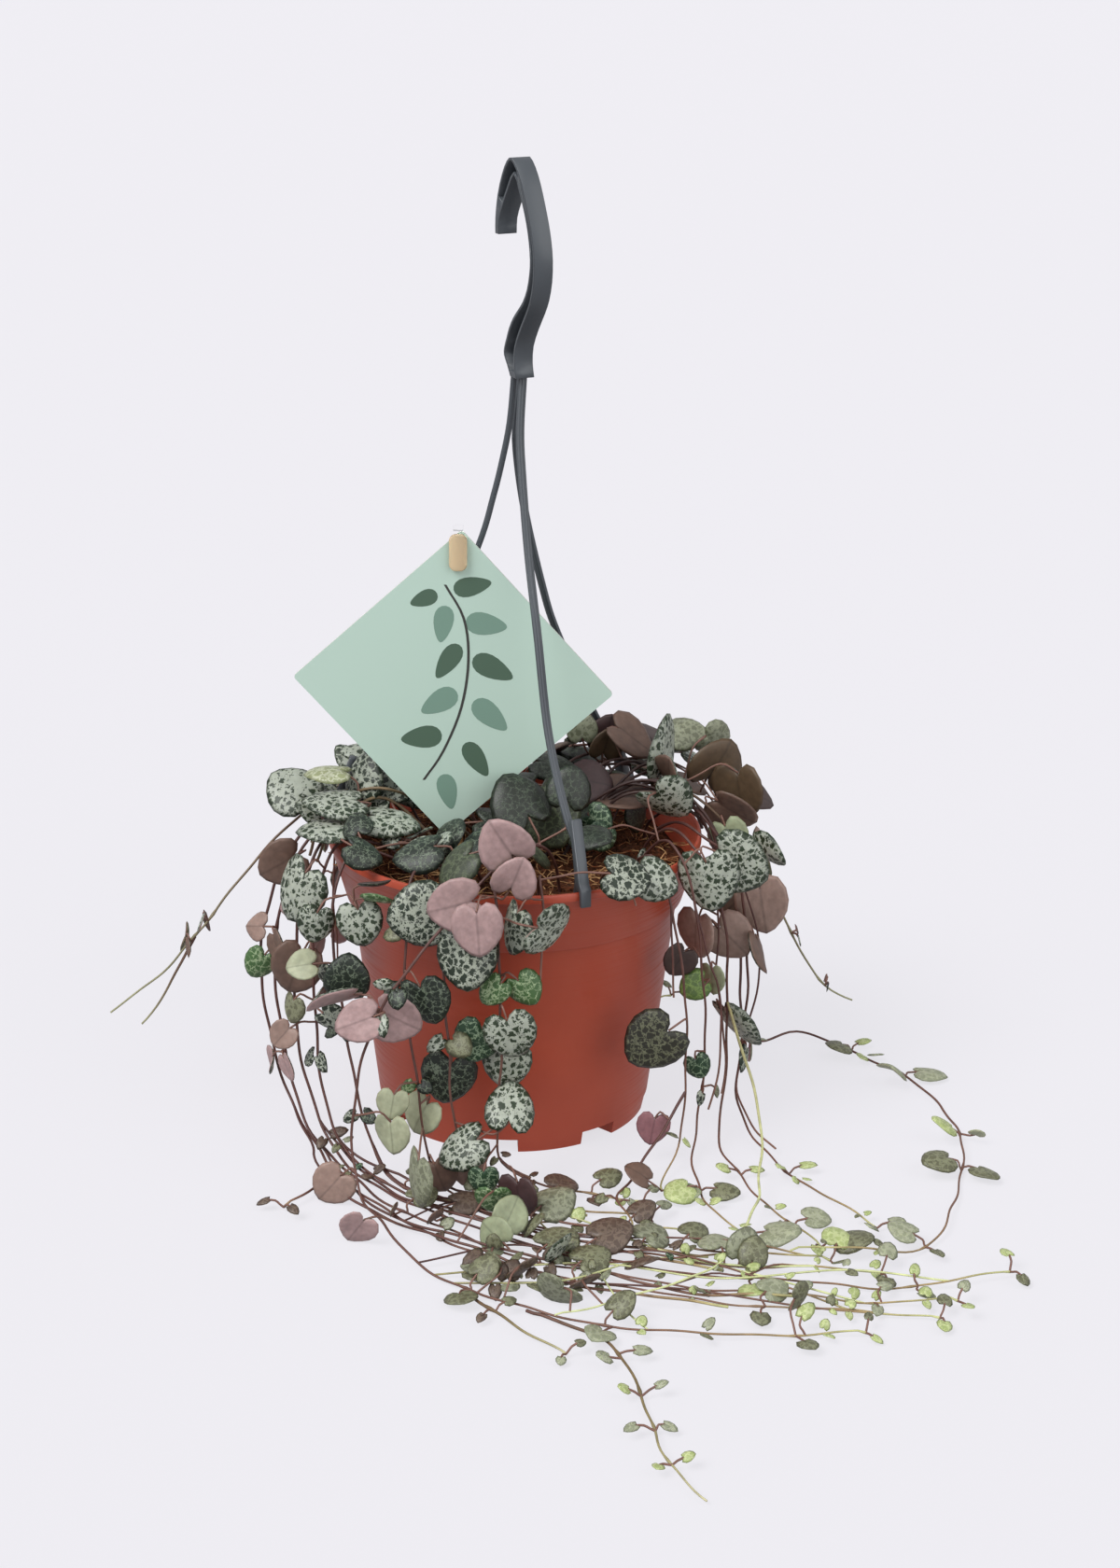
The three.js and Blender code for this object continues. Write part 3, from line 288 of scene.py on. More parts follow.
def fleshy_leaf(name):
    """The upper skin of a fleshy, waxy leaf. Grown in one piece, it has a dull gleam, a silver net over
    rounded green islands, and a greener edge."""
    material, tree, skin = finish_with(
        name, "#7E8C78", 0.42, Subsurface_Weight=0.12, Subsurface_Scale=1.2 * MM,
        Subsurface_Radius=(0.8, 1.0, 0.4))
    there = on_leaf(tree)[1]
    edge, silver, island, net = carried(tree, "leaf_edge", "silver", "island_colour", "net_colour")
    # Islands are the insides of cells about 2.2 mm across, with ragged edges. The net between them is
    # wide on a silvery leaf, thin on a dark one, and thinner towards the edge of each leaf.
    waver = add_node(tree, "ShaderNodeTexNoise", {"Vector": there, "Scale": 0.75, "Detail": 5.0,
                                                  "Roughness": 0.7})
    pushed = add_node(tree, "ShaderNodeVectorMath", {0: (waver, "Color"), 1: (3.4, 3.4, 3.4), 2: there},
                      operation="MULTIPLY_ADD")
    cells = add_node(tree, "ShaderNodeTexVoronoi", {"Vector": pushed, "Scale": 0.45, "Randomness": 1.0},
                     feature="DISTANCE_TO_EDGE")
    patch = add_node(tree, "ShaderNodeTexNoise", {"Vector": there, "Scale": 0.5, "Detail": 2.0})
    strong = add_node(tree, "ShaderNodeMapRange", {"Value": patch, **span(0.3, 0.7, 0.35, 1.65)})
    far = add_node(tree, "ShaderNodeMath", {0: (edge, "Fac"), 1: 2.5}, operation="POWER")
    thin = add_node(tree, "ShaderNodeMath", {0: far, 1: -0.45, 2: strong}, operation="MULTIPLY_ADD")
    net_width = add_node(tree, "ShaderNodeMath", {0: (silver, "Fac"), 1: thin}, operation="MULTIPLY")
    past = add_node(tree, "ShaderNodeMath", {0: net_width, 1: (cells, "Distance")},
                    operation="SUBTRACT")
    veiled = add_node(tree, "ShaderNodeMapRange", {"Value": past, **span(-0.02, 0.02)},
                      interpolation_type="SMOOTHSTEP")
    painted = add_node(tree, "ShaderNodeMix", {"Factor": veiled, "A_Color": (island, "Color"),
                                               "B_Color": (net, "Color")}, data_type="RGBA")
    rim = add_node(tree, "ShaderNodeMapRange", {"Value": (edge, "Fac"), **span(0.9, 0.99, 0, 0.7)})
    rimmed = add_node(tree, "ShaderNodeMix", {"Factor": rim, "A_Color": painted,
                                              "B_Color": (island, "Color")}, data_type="RGBA")
    mottle = add_node(tree, "ShaderNodeTexNoise", {"Vector": there, "Scale": 0.35, "Detail": 3.0})
    shade = add_node(tree, "ShaderNodeMapRange", {"Value": mottle, **span(0.3, 0.7, 0.88, 1.12)})
    coloured = add_node(tree, "ShaderNodeVectorMath", {0: rimmed, 3: shade}, operation="SCALE")
    fill(tree, skin, {"Base Color": coloured})
    pores = add_node(tree, "ShaderNodeTexNoise", {"Vector": there, "Scale": 1 / FOLIAGE_PORE})
    height = add_node(tree, "ShaderNodeMath", {0: veiled, 1: 0.5, 2: pores}, operation="MULTIPLY_ADD")
    relief(tree, skin, height, 0.35, 0.15)
    return material


def leaf_underside(name):
    """The lower skin of a fleshy leaf. It is plain and duller than the upper side, mauve to brown, with a
    darker middle vein and cloudy blotches."""
    material, tree, skin = finish_with(
        name, "#A0868A", 0.5, Subsurface_Weight=0.15, Subsurface_Scale=1.2 * MM,
        Subsurface_Radius=(1.0, 0.6, 0.5))
    place, there = on_leaf(tree)
    under = carried(tree, "under_colour")[0]
    parts = add_node(tree, "ShaderNodeSeparateXYZ", {"Vector": (place, "Vector")})
    off = add_node(tree, "ShaderNodeMath", {0: (parts, "Y")}, operation="ABSOLUTE")
    vein = add_node(tree, "ShaderNodeMapRange", {"Value": off, **span(0.008, 0.04, 0.72, 1.0)})
    blotch = add_node(tree, "ShaderNodeTexNoise", {"Vector": there, "Scale": 0.5, "Detail": 4.0})
    shade = add_node(tree, "ShaderNodeMapRange", {"Value": blotch, **span(0.3, 0.7, 0.82, 1.14)})
    both = add_node(tree, "ShaderNodeMath", {0: vein, 1: shade}, operation="MULTIPLY")
    coloured = add_node(tree, "ShaderNodeVectorMath", {0: (under, "Color"), 3: both}, operation="SCALE")
    fill(tree, skin, {"Base Color": coloured})
    relief(tree, skin, blotch, 0.3, 0.2)
    return material


def wiry_stem(name):
    """The skin of a thin, woody-red climbing stem: smooth and half dull, paler where it is young."""
    material, tree, skin = finish_with(name, "#6A4A44", 0.5)
    colour = carried(tree, "stem_colour")[0]
    blotch = grain(tree, 0.25)
    shade = add_node(tree, "ShaderNodeMapRange", {"Value": blotch, **span(0.3, 0.7, 0.8, 1.2)})
    coloured = add_node(tree, "ShaderNodeVectorMath", {0: (colour, "Color"), 3: shade},
                        operation="SCALE")
    fill(tree, skin, {"Base Color": coloured})
    return material


def moulded_polypropylene(name):
    """Thin injection-moulded polypropylene, dyed terracotta. It has a soft sheen and lets a little light
    through, and handling leaves faint level scratches."""
    material, tree, skin = finish_with(
        name, "#B44D33", 0.4, IOR=1.49, Subsurface_Weight=0.2, Subsurface_Scale=2.0 * MM,
        Subsurface_Radius=(1.0, 0.35, 0.2))
    two_tone(tree, skin, grain(tree, 0.03, Detail=3.0), "#AC452E", "#C0573E")
    # Scratches run level: about 0.4 mm apart up the wall, and tens of millimetres long.
    scratch = grain(tree, 1, (0.03, 0.03, 2.4))
    dull = add_node(tree, "ShaderNodeMapRange", {"Value": scratch, **span(0.45, 0.8, 0.32, 0.6)})
    fill(tree, skin, {"Roughness": dull})
    relief(tree, skin, scratch, 0.25, 0.05)
    return material


def peat_compost(name):
    """Loose peat and coir compost, tipped in and watered: dull, nearly black brown with red crumbs."""
    material, tree, skin = finish_with(name, "#3A2620", 0.95, Specular_IOR_Level=0.2)
    crumb = grain(tree, 0.5, Detail=5.0, Roughness=0.7)
    share = add_node(tree, "ShaderNodeMapRange", {"Value": crumb, **span(0.35, 0.7)})
    two_tone(tree, skin, share, "#2E1C13", "#7C4A2F")
    relief(tree, skin, crumb, 0.8, 0.8)
    return material


def coir_fibre(name):
    """Coconut husk fibre, retted and dried: dull, from straw to fox red."""
    material, tree, skin = finish_with(name, "#9A5A34", 0.8)
    share = add_node(tree, "ShaderNodeMapRange", {"Value": grain(tree, 0.25), **span(0.35, 0.65)})
    two_tone(tree, skin, share, "#8A4A26", "#E2B67E")
    return material


def sawn_birch(name):
    """A thin dowel of pale birch: dull, with straight grain lines about 0.8 mm apart."""
    material, tree, skin = finish_with(name, "#C79A62", 0.6)
    two_tone(tree, skin, grain(tree, 1.2, (1, 1, 0.04), Detail=3.0), "#A9783F", "#DDBB88")
    return material


LEAF_UPPER = fleshy_leaf("fleshy leaf, upper skin")
LEAF_UNDER = leaf_underside("fleshy leaf, lower skin")
STEM_SKIN = wiry_stem("wiry stem skin")
POT_PLASTIC = moulded_polypropylene("moulded polypropylene, terracotta")
COMPOST = peat_compost("peat and coir compost")
COIR = coir_fibre("coir fibre")
BIRCH = sawn_birch("sawn birch dowel")
# Moulded ABS, dyed slate: an even colour with a satin gleam on its edges.
HANGER_PLASTIC = finish_with("moulded ABS, slate grey", "#4B5055", 0.36, IOR=1.53)[0]
# Offset-printed board with a thin varnish: flat colours and a weak, broad gleam.
CARD_BOARD = finish_with("varnished board, mint", "#C0D9CB", 0.5)[0]
CARD_EDGE = finish_with("cut edge of the board", "#D9DCD2", 0.8)[0]
PRINT_DARK = finish_with("printing ink, deep green", "#4F6856", 0.5)[0]
PRINT_MIDDLE = finish_with("printing ink, sage", "#7A9A8A", 0.5)[0]
PRINT_LINE = finish_with("printing ink, charcoal", "#3E3E3A", 0.5)[0]
# Polystyrene, moulded and polished: glassy, with bright edges. The clip's front leg is dyed amber.
AMBER_PLASTIC = finish_with("half-clear polystyrene, amber", "#F8E0BB", 0.08, IOR=1.5,
                            Transmission_Weight=0.5)[0]
CLEAR_PLASTIC = finish_with("clear polystyrene", "#FFFFFF", 0.02, IOR=1.02,
                            Transmission_Weight=1.0)[0]

# ---------------------------------------------------------------- pot

RIM_RADIUS = 60
POT_HEIGHT = 94
FOOT_HEIGHT = 4.6
FOOT_COUNT = 8
FOOT_WIDTH_DEG = 28
FOOT_PHASE_DEG = 16
# The wall's section as [radius, height], from the middle of the underside round the rim to the floor
# inside. FEET are the two corners that are drawn down to the ground under each foot.
OUTER_SECTION = [(9, 0), (9, FOOT_HEIGHT), (36.3, FOOT_HEIGHT), (37.3, 0), (43.3, 0),
                 (44.3, FOOT_HEIGHT), (48.5, 39), (52.6, 72.6), (52.9, 73.1), (54.0, 73.2),
                 (54.5, 73.8), (RIM_RADIUS - 0.6, 91.0), (RIM_RADIUS, 91.6), (RIM_RADIUS, 93.3),
                 (RIM_RADIUS - 0.4, POT_HEIGHT)]
INNER_SECTION = [(RIM_RADIUS - 1.1, POT_HEIGHT), (58.4, 93.4), (52.9, 75), (51.1, 71), (46.9, 38),
                 (42.6, 7.2), (41.4, 6.1)]
FEET = (3, 4)
DRAIN_HOLES = [(90 * k, 24, 3.5) for k in range(4)]


def foot_angles(step=3):
    """Azimuths round the pot with whether a foot is there, doubled where a foot's side stands."""
    marks = []
    pitch = 360 / FOOT_COUNT
    for k in range(FOOT_COUNT):
        middle = FOOT_PHASE_DEG + pitch * k
        for start, width, on in ((middle - FOOT_WIDTH_DEG / 2, FOOT_WIDTH_DEG, True),
                                 (middle + FOOT_WIDTH_DEG / 2, pitch - FOOT_WIDTH_DEG, False)):
            count = round(width / step)
            marks += [(start + width * i / count, on) for i in range(count + 1)]
    return marks


def make_pot():
    """The pot: its wall's section carried round, the feet drawn down and the floor drilled."""
    marks = foot_angles()
    section = [*OUTER_SECTION, *INNER_SECTION]
    corners = []
    for azimuth, on_foot in marks:
        for i, (radius, z) in enumerate(section):
            low = FOOT_HEIGHT if i in FEET and not on_foot else z
            corners.append(around(azimuth, radius, low))
    rows, count = len(marks), len(section)
    faces = [(count * a + i, count * a + i + 1, count * b + i + 1, count * b + i)
             for a, b in ((k, (k + 1) % rows) for k in range(rows)) for i in range(count - 1)]
    for end in (0, count - 1):
        faces.append(tuple(count * a + end for a in range(rows)))
    pot = outward(mesh_object("pot_wall", corners, faces, [POT_PLASTIC]))
    drills = [hole_cutter(around(azimuth, radius, 0), size) for azimuth, radius, size in DRAIN_HOLES]
    cut_away(pot, joined("drain hole cutter", drills))
    return belongs(smooth_by_angle(pot), "pot_plastic", "pot")


def hole_cutter(place, radius, height=20):
    """A rod that stands through the pot's floor."""
    bm = bmesh.new()
    bmesh.ops.create_cone(bm, cap_ends=True, segments=24, radius1=radius * MM, radius2=radius * MM,
                          depth=height * MM, matrix=Matrix.Translation(place * MM))
    return as_object("rod", mesh_from("rod", bm))


def smooth_by_angle(thing, angle=40):
    """Shades a piece smooth, and leaves the edges that turn more than the angle sharp."""
    thing.data.polygons.foreach_set("use_smooth", [True] * len(thing.data.polygons))
    thing.data.set_sharp_from_angle(angle=math.radians(angle))
    return thing


# ---------------------------------------------------------------- compost, its crumbs and fibres

SOIL_TOP = 84
SOIL_BOTTOM = 6.4
SOIL_GAP = 0.35
SOIL_SPOKES, SOIL_RINGS = 96, 22
SOIL_LEVELS = (70, 38, 10, SOIL_BOTTOM)      # heights of the corners down its side


def wall_inside(z):
    """The radius of the pot's wall on its inside at a height."""
    section = sorted((z_, radius) for radius, z_ in INNER_SECTION)
    for (z0, r0), (z1, r1) in zip(section, section[1:]):
        if z0 <= z <= z1:
            return r0 + (r1 - r0) * (z - z0) / max(z1 - z0, 1e-6)
    return section[-1][1] if z > section[-1][0] else section[0][1]


def soil_height(x, y):
    """The height of the lumpy top of the compost."""
    swell = 0.9 * math.sin(0.19 * x + 0.6) + 0.8 * math.cos(0.23 * y - 0.02 * x)
    return SOIL_TOP + swell + 0.35 * math.sin(0.9 * x + 1.3) * math.cos(0.8 * y)


def make_soil():
    """The root ball: a lumpy top and a plain side close to the pot's wall."""
    spokes, rings = SOIL_SPOKES, SOIL_RINGS
    top_radius = wall_inside(SOIL_TOP) - SOIL_GAP
    corners = [(0, 0, soil_height(0, 0))]
    for ring in range(1, rings + 1):
        for spoke in range(spokes):
            place = around(360 * spoke / spokes, top_radius * ring / rings, 0)
            corners.append((place.x, place.y, soil_height(place.x, place.y)))
    for z in SOIL_LEVELS:
        radius = wall_inside(z) - SOIL_GAP - (2 if z == SOIL_BOTTOM else 0)
        corners += [around(360 * spoke / spokes, radius, z) for spoke in range(spokes)]
    faces = [(0, 1 + k, 1 + (k + 1) % spokes) for k in range(spokes)]
    for ring in range(rings + len(SOIL_LEVELS) - 1):
        first = 1 + ring * spokes
        for k in range(spokes):
            after = (k + 1) % spokes
            faces.append((first + k, first + spokes + k, first + spokes + after, first + after))
    last = 1 + (rings + len(SOIL_LEVELS) - 1) * spokes
    faces.append(tuple(last + k for k in range(spokes)))
    return outward(mesh_object("compost", corners, faces, [COMPOST]))


CRUMBS_PER_M2, FIBRES_PER_M2 = 330000, 34000
# The scale of the smallest and the largest piece, and how far a piece turns about each axis.
CRUMB_SIZES, CRUMB_TURNS = (0.5, 2.0), (3.1, 3.1, 3.1)
FIBRE_SIZES, FIBRE_TURNS = (0.7, 1.5), (0.4, 0.4, 3.14)
CRUMB_RADIUS = 0.5
COIR_LENGTHS = (8, 13, 19)
COIR_SECTION = [(0.14, 0), (-0.07, 0.12), (-0.07, -0.12)]
STREWING_SEED = 5


def strewing_tree():
    """Node tree: pieces strewn over a surface, each turned and sized at random."""
    tree, given = geometry_tree("strewn pieces", "Strewn", {
        "Surface": "Geometry", "Pieces": "Collection", "Per square metre": "Float",
        "Smallest": "Float", "Largest": "Float", "Tilt": "Vector", "Seed": "Int",
        "Skin": "Material"})
    given = add_node(tree, "NodeGroupInput")
    points = add_node(tree, "GeometryNodeDistributePointsOnFaces", {
        "Mesh": (given, "Surface"), "Density": (given, "Per square metre"), "Seed": (given, "Seed")})
    pieces = add_node(tree, "GeometryNodeCollectionInfo", {
        "Collection": (given, "Pieces"), "Separate Children": True, "Reset Children": True})
    size = add_node(tree, "FunctionNodeRandomValue", {
        "Min_001": (given, "Smallest"), "Max_001": (given, "Largest"), "Seed": (given, "Seed")},
        data_type="FLOAT")
    back = add_node(tree, "ShaderNodeVectorMath", {0: (given, "Tilt"), 3: -1.0}, operation="SCALE")
    turn = add_node(tree, "FunctionNodeRandomValue", {
        "Min": back, "Max": (given, "Tilt"), "Seed": (given, "Seed")}, data_type="FLOAT_VECTOR")
    spin = add_node(tree, "FunctionNodeEulerToRotation", {0: turn})
    strewn = add_node(tree, "GeometryNodeInstanceOnPoints", {
        "Points": (points, "Points"), "Instance": pieces, "Pick Instance": True, "Rotation": spin,
        "Scale": size})
    real = add_node(tree, "GeometryNodeRealizeInstances", {"Geometry": strewn})
    dressed = add_node(tree, "GeometryNodeSetMaterial", {"Geometry": real,
                                                         "Material": (given, "Skin")})
    add_node(tree, "NodeGroupOutput", {"Strewn": dressed})
    return tree


def make_crumb(collection, seed):
    """A lump of compost, about 1 mm across."""
    rng = random.Random(seed)
    bm = bmesh.new()
    bmesh.ops.create_icosphere(bm, subdivisions=1, radius=CRUMB_RADIUS * MM)
    for corner in bm.verts:
        corner.co *= rng.uniform(0.65, 1.25)
    as_object("crumb", mesh_from("crumb", bm), collection)


def make_coir(collection, seed):
    """A bent fibre, its middle on the ground."""
    rng = random.Random(seed)
    line = [Vector((COIR_LENGTHS[seed] * (t - 0.5), rng.uniform(-1.6, 1.6), rng.uniform(0.1, 2.0)))
            for t in (0, 0.25, 0.5, 0.75, 1)]
    fibre = swept("coir", COIR_SECTION, curve_points(line, 2), lambda ahead: UP.cross(ahead), [])
    bpy.context.scene.collection.objects.unlink(fibre)
    collection.objects.link(fibre)


def compost_top(step=3):
    """The top of the compost as corners and square faces."""
    top_radius = wall_inside(SOIL_TOP) - 2
    reach = int(top_radius // step)
    faces, corners = [], []
    for i in range(-reach, reach + 1):
        for j in range(-reach, reach + 1):
            x, y = i * step, j * step
            if math.hypot(x, y) < top_radius - step:
                first = len(corners)
                corners += [(x + u, y + v, soil_height(x + u, y + v))
                            for u, v in ((0, 0), (step, 0), (step, step), (0, step))]
                faces.append((first, first + 1, first + 2, first + 3))
    return corners, faces


def strew_compost():
    """Crumbs and coir fibres over the top of the compost."""
    tree = strewing_tree()
    kinds = [("crumbs", make_crumb, CRUMBS_PER_M2, CRUMB_SIZES, CRUMB_TURNS, COMPOST),
             ("fibres", make_coir, FIBRES_PER_M2, FIBRE_SIZES, FIBRE_TURNS, COIR)]
    for kind, make_piece, density, (smallest, largest), tilt, skin in kinds:
        pieces = bpy.data.collections.new(kind)
        for number in range(len(COIR_LENGTHS)):
            make_piece(pieces, number)
        ground = mesh_object("top of the compost", *compost_top())
        strewn = through_tree(f"compost_{kind}", ground, tree, {
            "Pieces": pieces, "Per square metre": float(density), "Smallest": smallest,
            "Largest": largest, "Tilt": tilt, "Seed": STREWING_SEED, "Skin": skin})
        bpy.data.objects.remove(ground)
        belongs(strewn, "soil")


# ---------------------------------------------------------------- hanger

HOOK_TURN_DEG = -65
# The two edges of the hook in its own upright plane, as [distance from the axis, height], from the foot
# round to the tip.
HOOK_OUTER_EDGE = [(5.6, 241.6), (4.4, 245.8), (5, 251), (8.4, 256.6), (12.6, 262), (15.6, 266.6),
                   (17.6, 272.6), (17.9, 279), (16.8, 284.5), (14.8, 289.7), (12.1, 295), (9, 300.4),
                   (5.4, 304.8), (1.4, 307.4), (-2, 306), (-5.4, 301.6), (-8.5, 295), (-10, 288),
                   (-10, 283.3)]
HOOK_INNER_EDGE = [(1.2, 241.6), (-1, 244.6), (-3.4, 247.4), (-3.2, 249.8), (-1.6, 253), (0.2, 256.3),
                   (3, 259.8), (6.2, 262.6), (9.8, 265.8), (12.7, 270), (14.3, 274.8), (14.7, 279),
                   (13.8, 284.2), (12, 289.3), (9.4, 294.2), (6.4, 298.9), (3.2, 302.6), (-0.6, 298.2),
                   (-4.4, 292.8), (-7.2, 288), (-7.6, 283.3)]
HOOK_HALF = 3.1
HOOK_WALL = 0.9
HOOK_CLOSED_END = 4
# Where the three straps run, from under the hook to their clips on the rim.
STRAP_AZIMUTHS = {"left": -98, "back": 142, "front": 20.4}
STRAP_ROUTES = {
    "left": [(-1.1, 0.5, 240.6), (-2.3, 1.5, 226.6), (-4.4, 2.6, 215), (-7.2, 3.4, 203), (-12.1, 4.4, 186),
             (-26, 5.5, 152), (-44, 7, 122)],
    "back": [(1.2, 3.8, 240.6), (-0.2, 4.3, 226.6), (-0.2, 5, 217), (2.4, 8, 197.5), (8.2, 16, 170.5),
             (13.2, 23, 152.9), (26, 36, 121)],
    "front": [(1.6, -2.9, 240.6), (0.9, -5.2, 226), (1.4, -8, 214.3), (3.5, -16.8, 190.7),
              (6.5, -28.5, 167.5), (10, -34, 138), (15.2, -45.5, 117)],
}
# Each strap's top runs on into the hook's foot, because they are one moulding.
STRAP_TOPS = {"left": (-1, 0.4, 244.6), "back": (1.4, 3.4, 247), "front": (1.6, -2.9, 242.5)}
STRAP_END = (53.4, 108)
CLIP_PROFILE = [(51.6, 115), (53.6, 115.6), (60.6, 97.2), (62.4, 95.4), (62.4, 90), (60.9, 90),
                (60.4, 94.4), (57.9, 94.4), (56.3, 90), (54.9, 90.6), (56.6, 96.6), (55.2, 102.6)]
CLIP_WIDTH = 3.4
# Half of a strap's width, and of its thickness beside the ridge and at the ridge.
STRAP_HALF, BAND_HALF, RIDGE_HALF = 1.2, 0.6, 0.95


def swept(name, section, line, side_of, materials):
    """A section of [across, outwards] points drawn along a line. side_of gives the direction of across
    from the line's own direction."""
    corners = []
    for i, place in enumerate(line):
        ahead = (line[min(i + 1, len(line) - 1)] - line[max(i - 1, 0)]).normalized()
        across = side_of(ahead).normalized()
        out = ahead.cross(across).normalized()
        corners += [place + across * x + out * y for x, y in section]
    count = len(section)
    faces = [(count * r + i, count * r + (i + 1) % count, count * (r + 1) + (i + 1) % count,
              count * (r + 1) + i) for r in range(len(line) - 1) for i in range(count)]
    faces.append(tuple(range(count)))
    faces.append(tuple(count * (len(line) - 1) + i for i in range(count)))
    return outward(mesh_object(name, corners, faces, materials))


def prism(name, outline, half, to_world, materials):
    """A flat outline made as thick as twice half, placed by a function of (x, y, depth)."""
    count = len(outline)
    corners = [to_world(x, y, side * half) for side in (-1, 1) for x, y in outline]
    faces = [tuple(range(count)), tuple(range(count, 2 * count))]
    faces += [(i, (i + 1) % count, count + (i + 1) % count, count + i) for i in range(count)]
    return outward(mesh_object(name, corners, faces, materials, smooth=False))


def beside(line, distance):
    """A [u, z] line moved to its left."""
    moved = []
    for i, (u, z) in enumerate(line):
        from_u, from_z = line[max(i - 1, 0)]
        to_u, to_z = line[min(i + 1, len(line) - 1)]
        length = math.hypot(to_u - from_u, to_z - from_z)
        moved.append((u - (to_z - from_z) / length * distance, z + (to_u - from_u) / length * distance))
    return moved


def eased(line, steps=3):
    """A [u, z] line with its corners rounded off."""
    return [(p.x, p.z) for p in curve_points([Vector((u, 0, z)) for u, z in line], steps)]


def make_hook():
    """A channel on its side: a web in the hook's plane, with a flange along each edge."""
    turn = Matrix.Rotation(math.radians(HOOK_TURN_DEG), 3, "Z")
    ends = slice(1, -HOOK_CLOSED_END)
    outer, inner = eased(HOOK_OUTER_EDGE), eased(HOOK_INNER_EDGE)
    hollow = beside(outer, HOOK_WALL)[ends] + beside(inner, -HOOK_WALL)[ends][::-1]
    body = prism("body", outer + inner[::-1], HOOK_HALF, lambda u, z, d: turn @ Vector((u, d, z)),
                 [HANGER_PLASTIC])
    cutter = prism("cutter", hollow, HOOK_HALF,
                   lambda u, z, d: turn @ Vector((u, d - HOOK_WALL, z)), [])
    hook = cut_away(body, cutter)
    hook.name = "hook_moulding"
    return belongs(smooth_by_angle(bevelled(hook, 0.22, 2)), "hanger_plastic", "hanger_hook")


def strap_section():
    """A flat band with a ridge along the middle of each face, as [across, outwards]."""
    half = [(-STRAP_HALF, -BAND_HALF), (-0.5, -BAND_HALF), (-0.35, -RIDGE_HALF), (0.35, -RIDGE_HALF),
            (0.5, -BAND_HALF), (STRAP_HALF, -BAND_HALF)]
    return half + [(x, -y) for x, y in reversed(half)]


def make_strap(side):
    """A strap with a ridge on each of its faces, and the clip that grips the pot's rim."""
    azimuth = STRAP_AZIMUTHS[side]
    places = [STRAP_TOPS[side], *STRAP_ROUTES[side], around(azimuth, *STRAP_END)]
    line = curve_points([Vector(place) for place in places], 3)
    outward_way, tangent = around(azimuth, 1, 0), around(azimuth + 90, 1, 0)
    band = swept("band", strap_section(), line, lambda ahead: tangent, [HANGER_PLASTIC])
    clip = prism("clip", CLIP_PROFILE, CLIP_WIDTH / 2,
                 lambda r, z, d: outward_way * r + tangent * d + UP * z, [HANGER_PLASTIC])
    strap = joined(f"strap_{side}_moulding", [bevelled(band, 0.14, 2), bevelled(clip, 0.35)])
    return belongs(smooth_by_angle(strap), "hanger_plastic", f"hanger_strap_{side}")


# ---------------------------------------------------------------- card, stick and clip

CARD_SIDE = 71
CARD_THICKNESS = 0.9
CARD_CENTRE = Vector((-19.5, -9, 145))
CARD_TURN = Matrix.Rotation(math.radians(48), 3, "Y")
CARD_CORNER = 1.2
STICK_PLACE = (-18, -6.4)
STICK_RADIUS = 1.4
STICK_ENDS = (78, 186)
# The clip: its dyed front leg as width, height and corner, and its clear bridge and back leg as [y, z].
CLIP_LEG = (5.6, 11.8, 2.2)
CLIP_LEG_FRONT, CLIP_LEG_TOP, CLIP_LEG_THICKNESS = -11.4, 194.2, 1.4
CLIP_BRIDGE = [(-11.2, 192.6), (-10.2, 192.6), (-10.2, 194.9), (-4, 194.9), (-4, 187.5),
               (-2.8, 187.5), (-2.8, 195.2), (-4, 195.6), (-10.2, 195.6), (-11.2, 195)]
CLIP_BRIDGE_WIDTH = 3
PRINT_PROUD, LINE_HALF = 0.04, 0.3     # how far the ink stands out, and half the line's width
# A sprig of leaves for the card's print, in the card's own plane: a bent line and pairs of ovals along
# it, as [u, v, length, width, turn in degrees, ink].
SPRIG_LINE = [(-26, 20), (-14, 17), (-3, 9), (7, -3), (14, -17), (17, -28)]
SPRIG_LEAVES = [
    (-20, 26, 12, 6, 60, 0), (-17, 11, 12, 6, -50, 1), (-8, 21, 13, 7, 40, 1), (-7, 4, 13, 6, -75, 0),
    (4, 13, 14, 7, 20, 0), (1, -7, 13, 7, -100, 1), (15, 2, 14, 7, 5, 1), (6, -19, 13, 7, -125, 0),
    (23, -11, 13, 6, -10, 0), (25, -25, 12, 6, -30, 1), (-27, 12, 9, 5, -110, 0),
]


def on_card(u, v, depth):
    """A place on the card: depth is in front of its middle plane."""
    return CARD_CENTRE + CARD_TURN @ Vector((u, -depth, v))


def rounded_outline(width, height, radius, steps=6):
    """A rectangle with rounded corners round the origin."""
    outline = []
    for corner, (sx, sy) in enumerate(((1, 1), (-1, 1), (-1, -1), (1, -1))):
        for i in range(steps + 1):
            angle = math.radians(90 * corner + 90 * i / steps)
            outline.append((sx * (width / 2 - radius) + radius * math.cos(angle),
                            sy * (height / 2 - radius) + radius * math.sin(angle)))
    return outline


def oval(u, v, length, width, turn_deg, steps=20):
    """A leaf's pointed oval, turned in the card's plane."""
    turn = Matrix.Rotation(math.radians(turn_deg), 2)
    outline = []
    for i in range(steps):
        angle = 2 * math.pi * i / steps
        along = math.cos(angle) * length / 2
        spread = math.sin(angle) * width / 2 * (1 - 0.35 * math.cos(angle))
        place = turn @ Vector((along, spread))
        outline.append((u + place.x, v + place.y))
    return outline


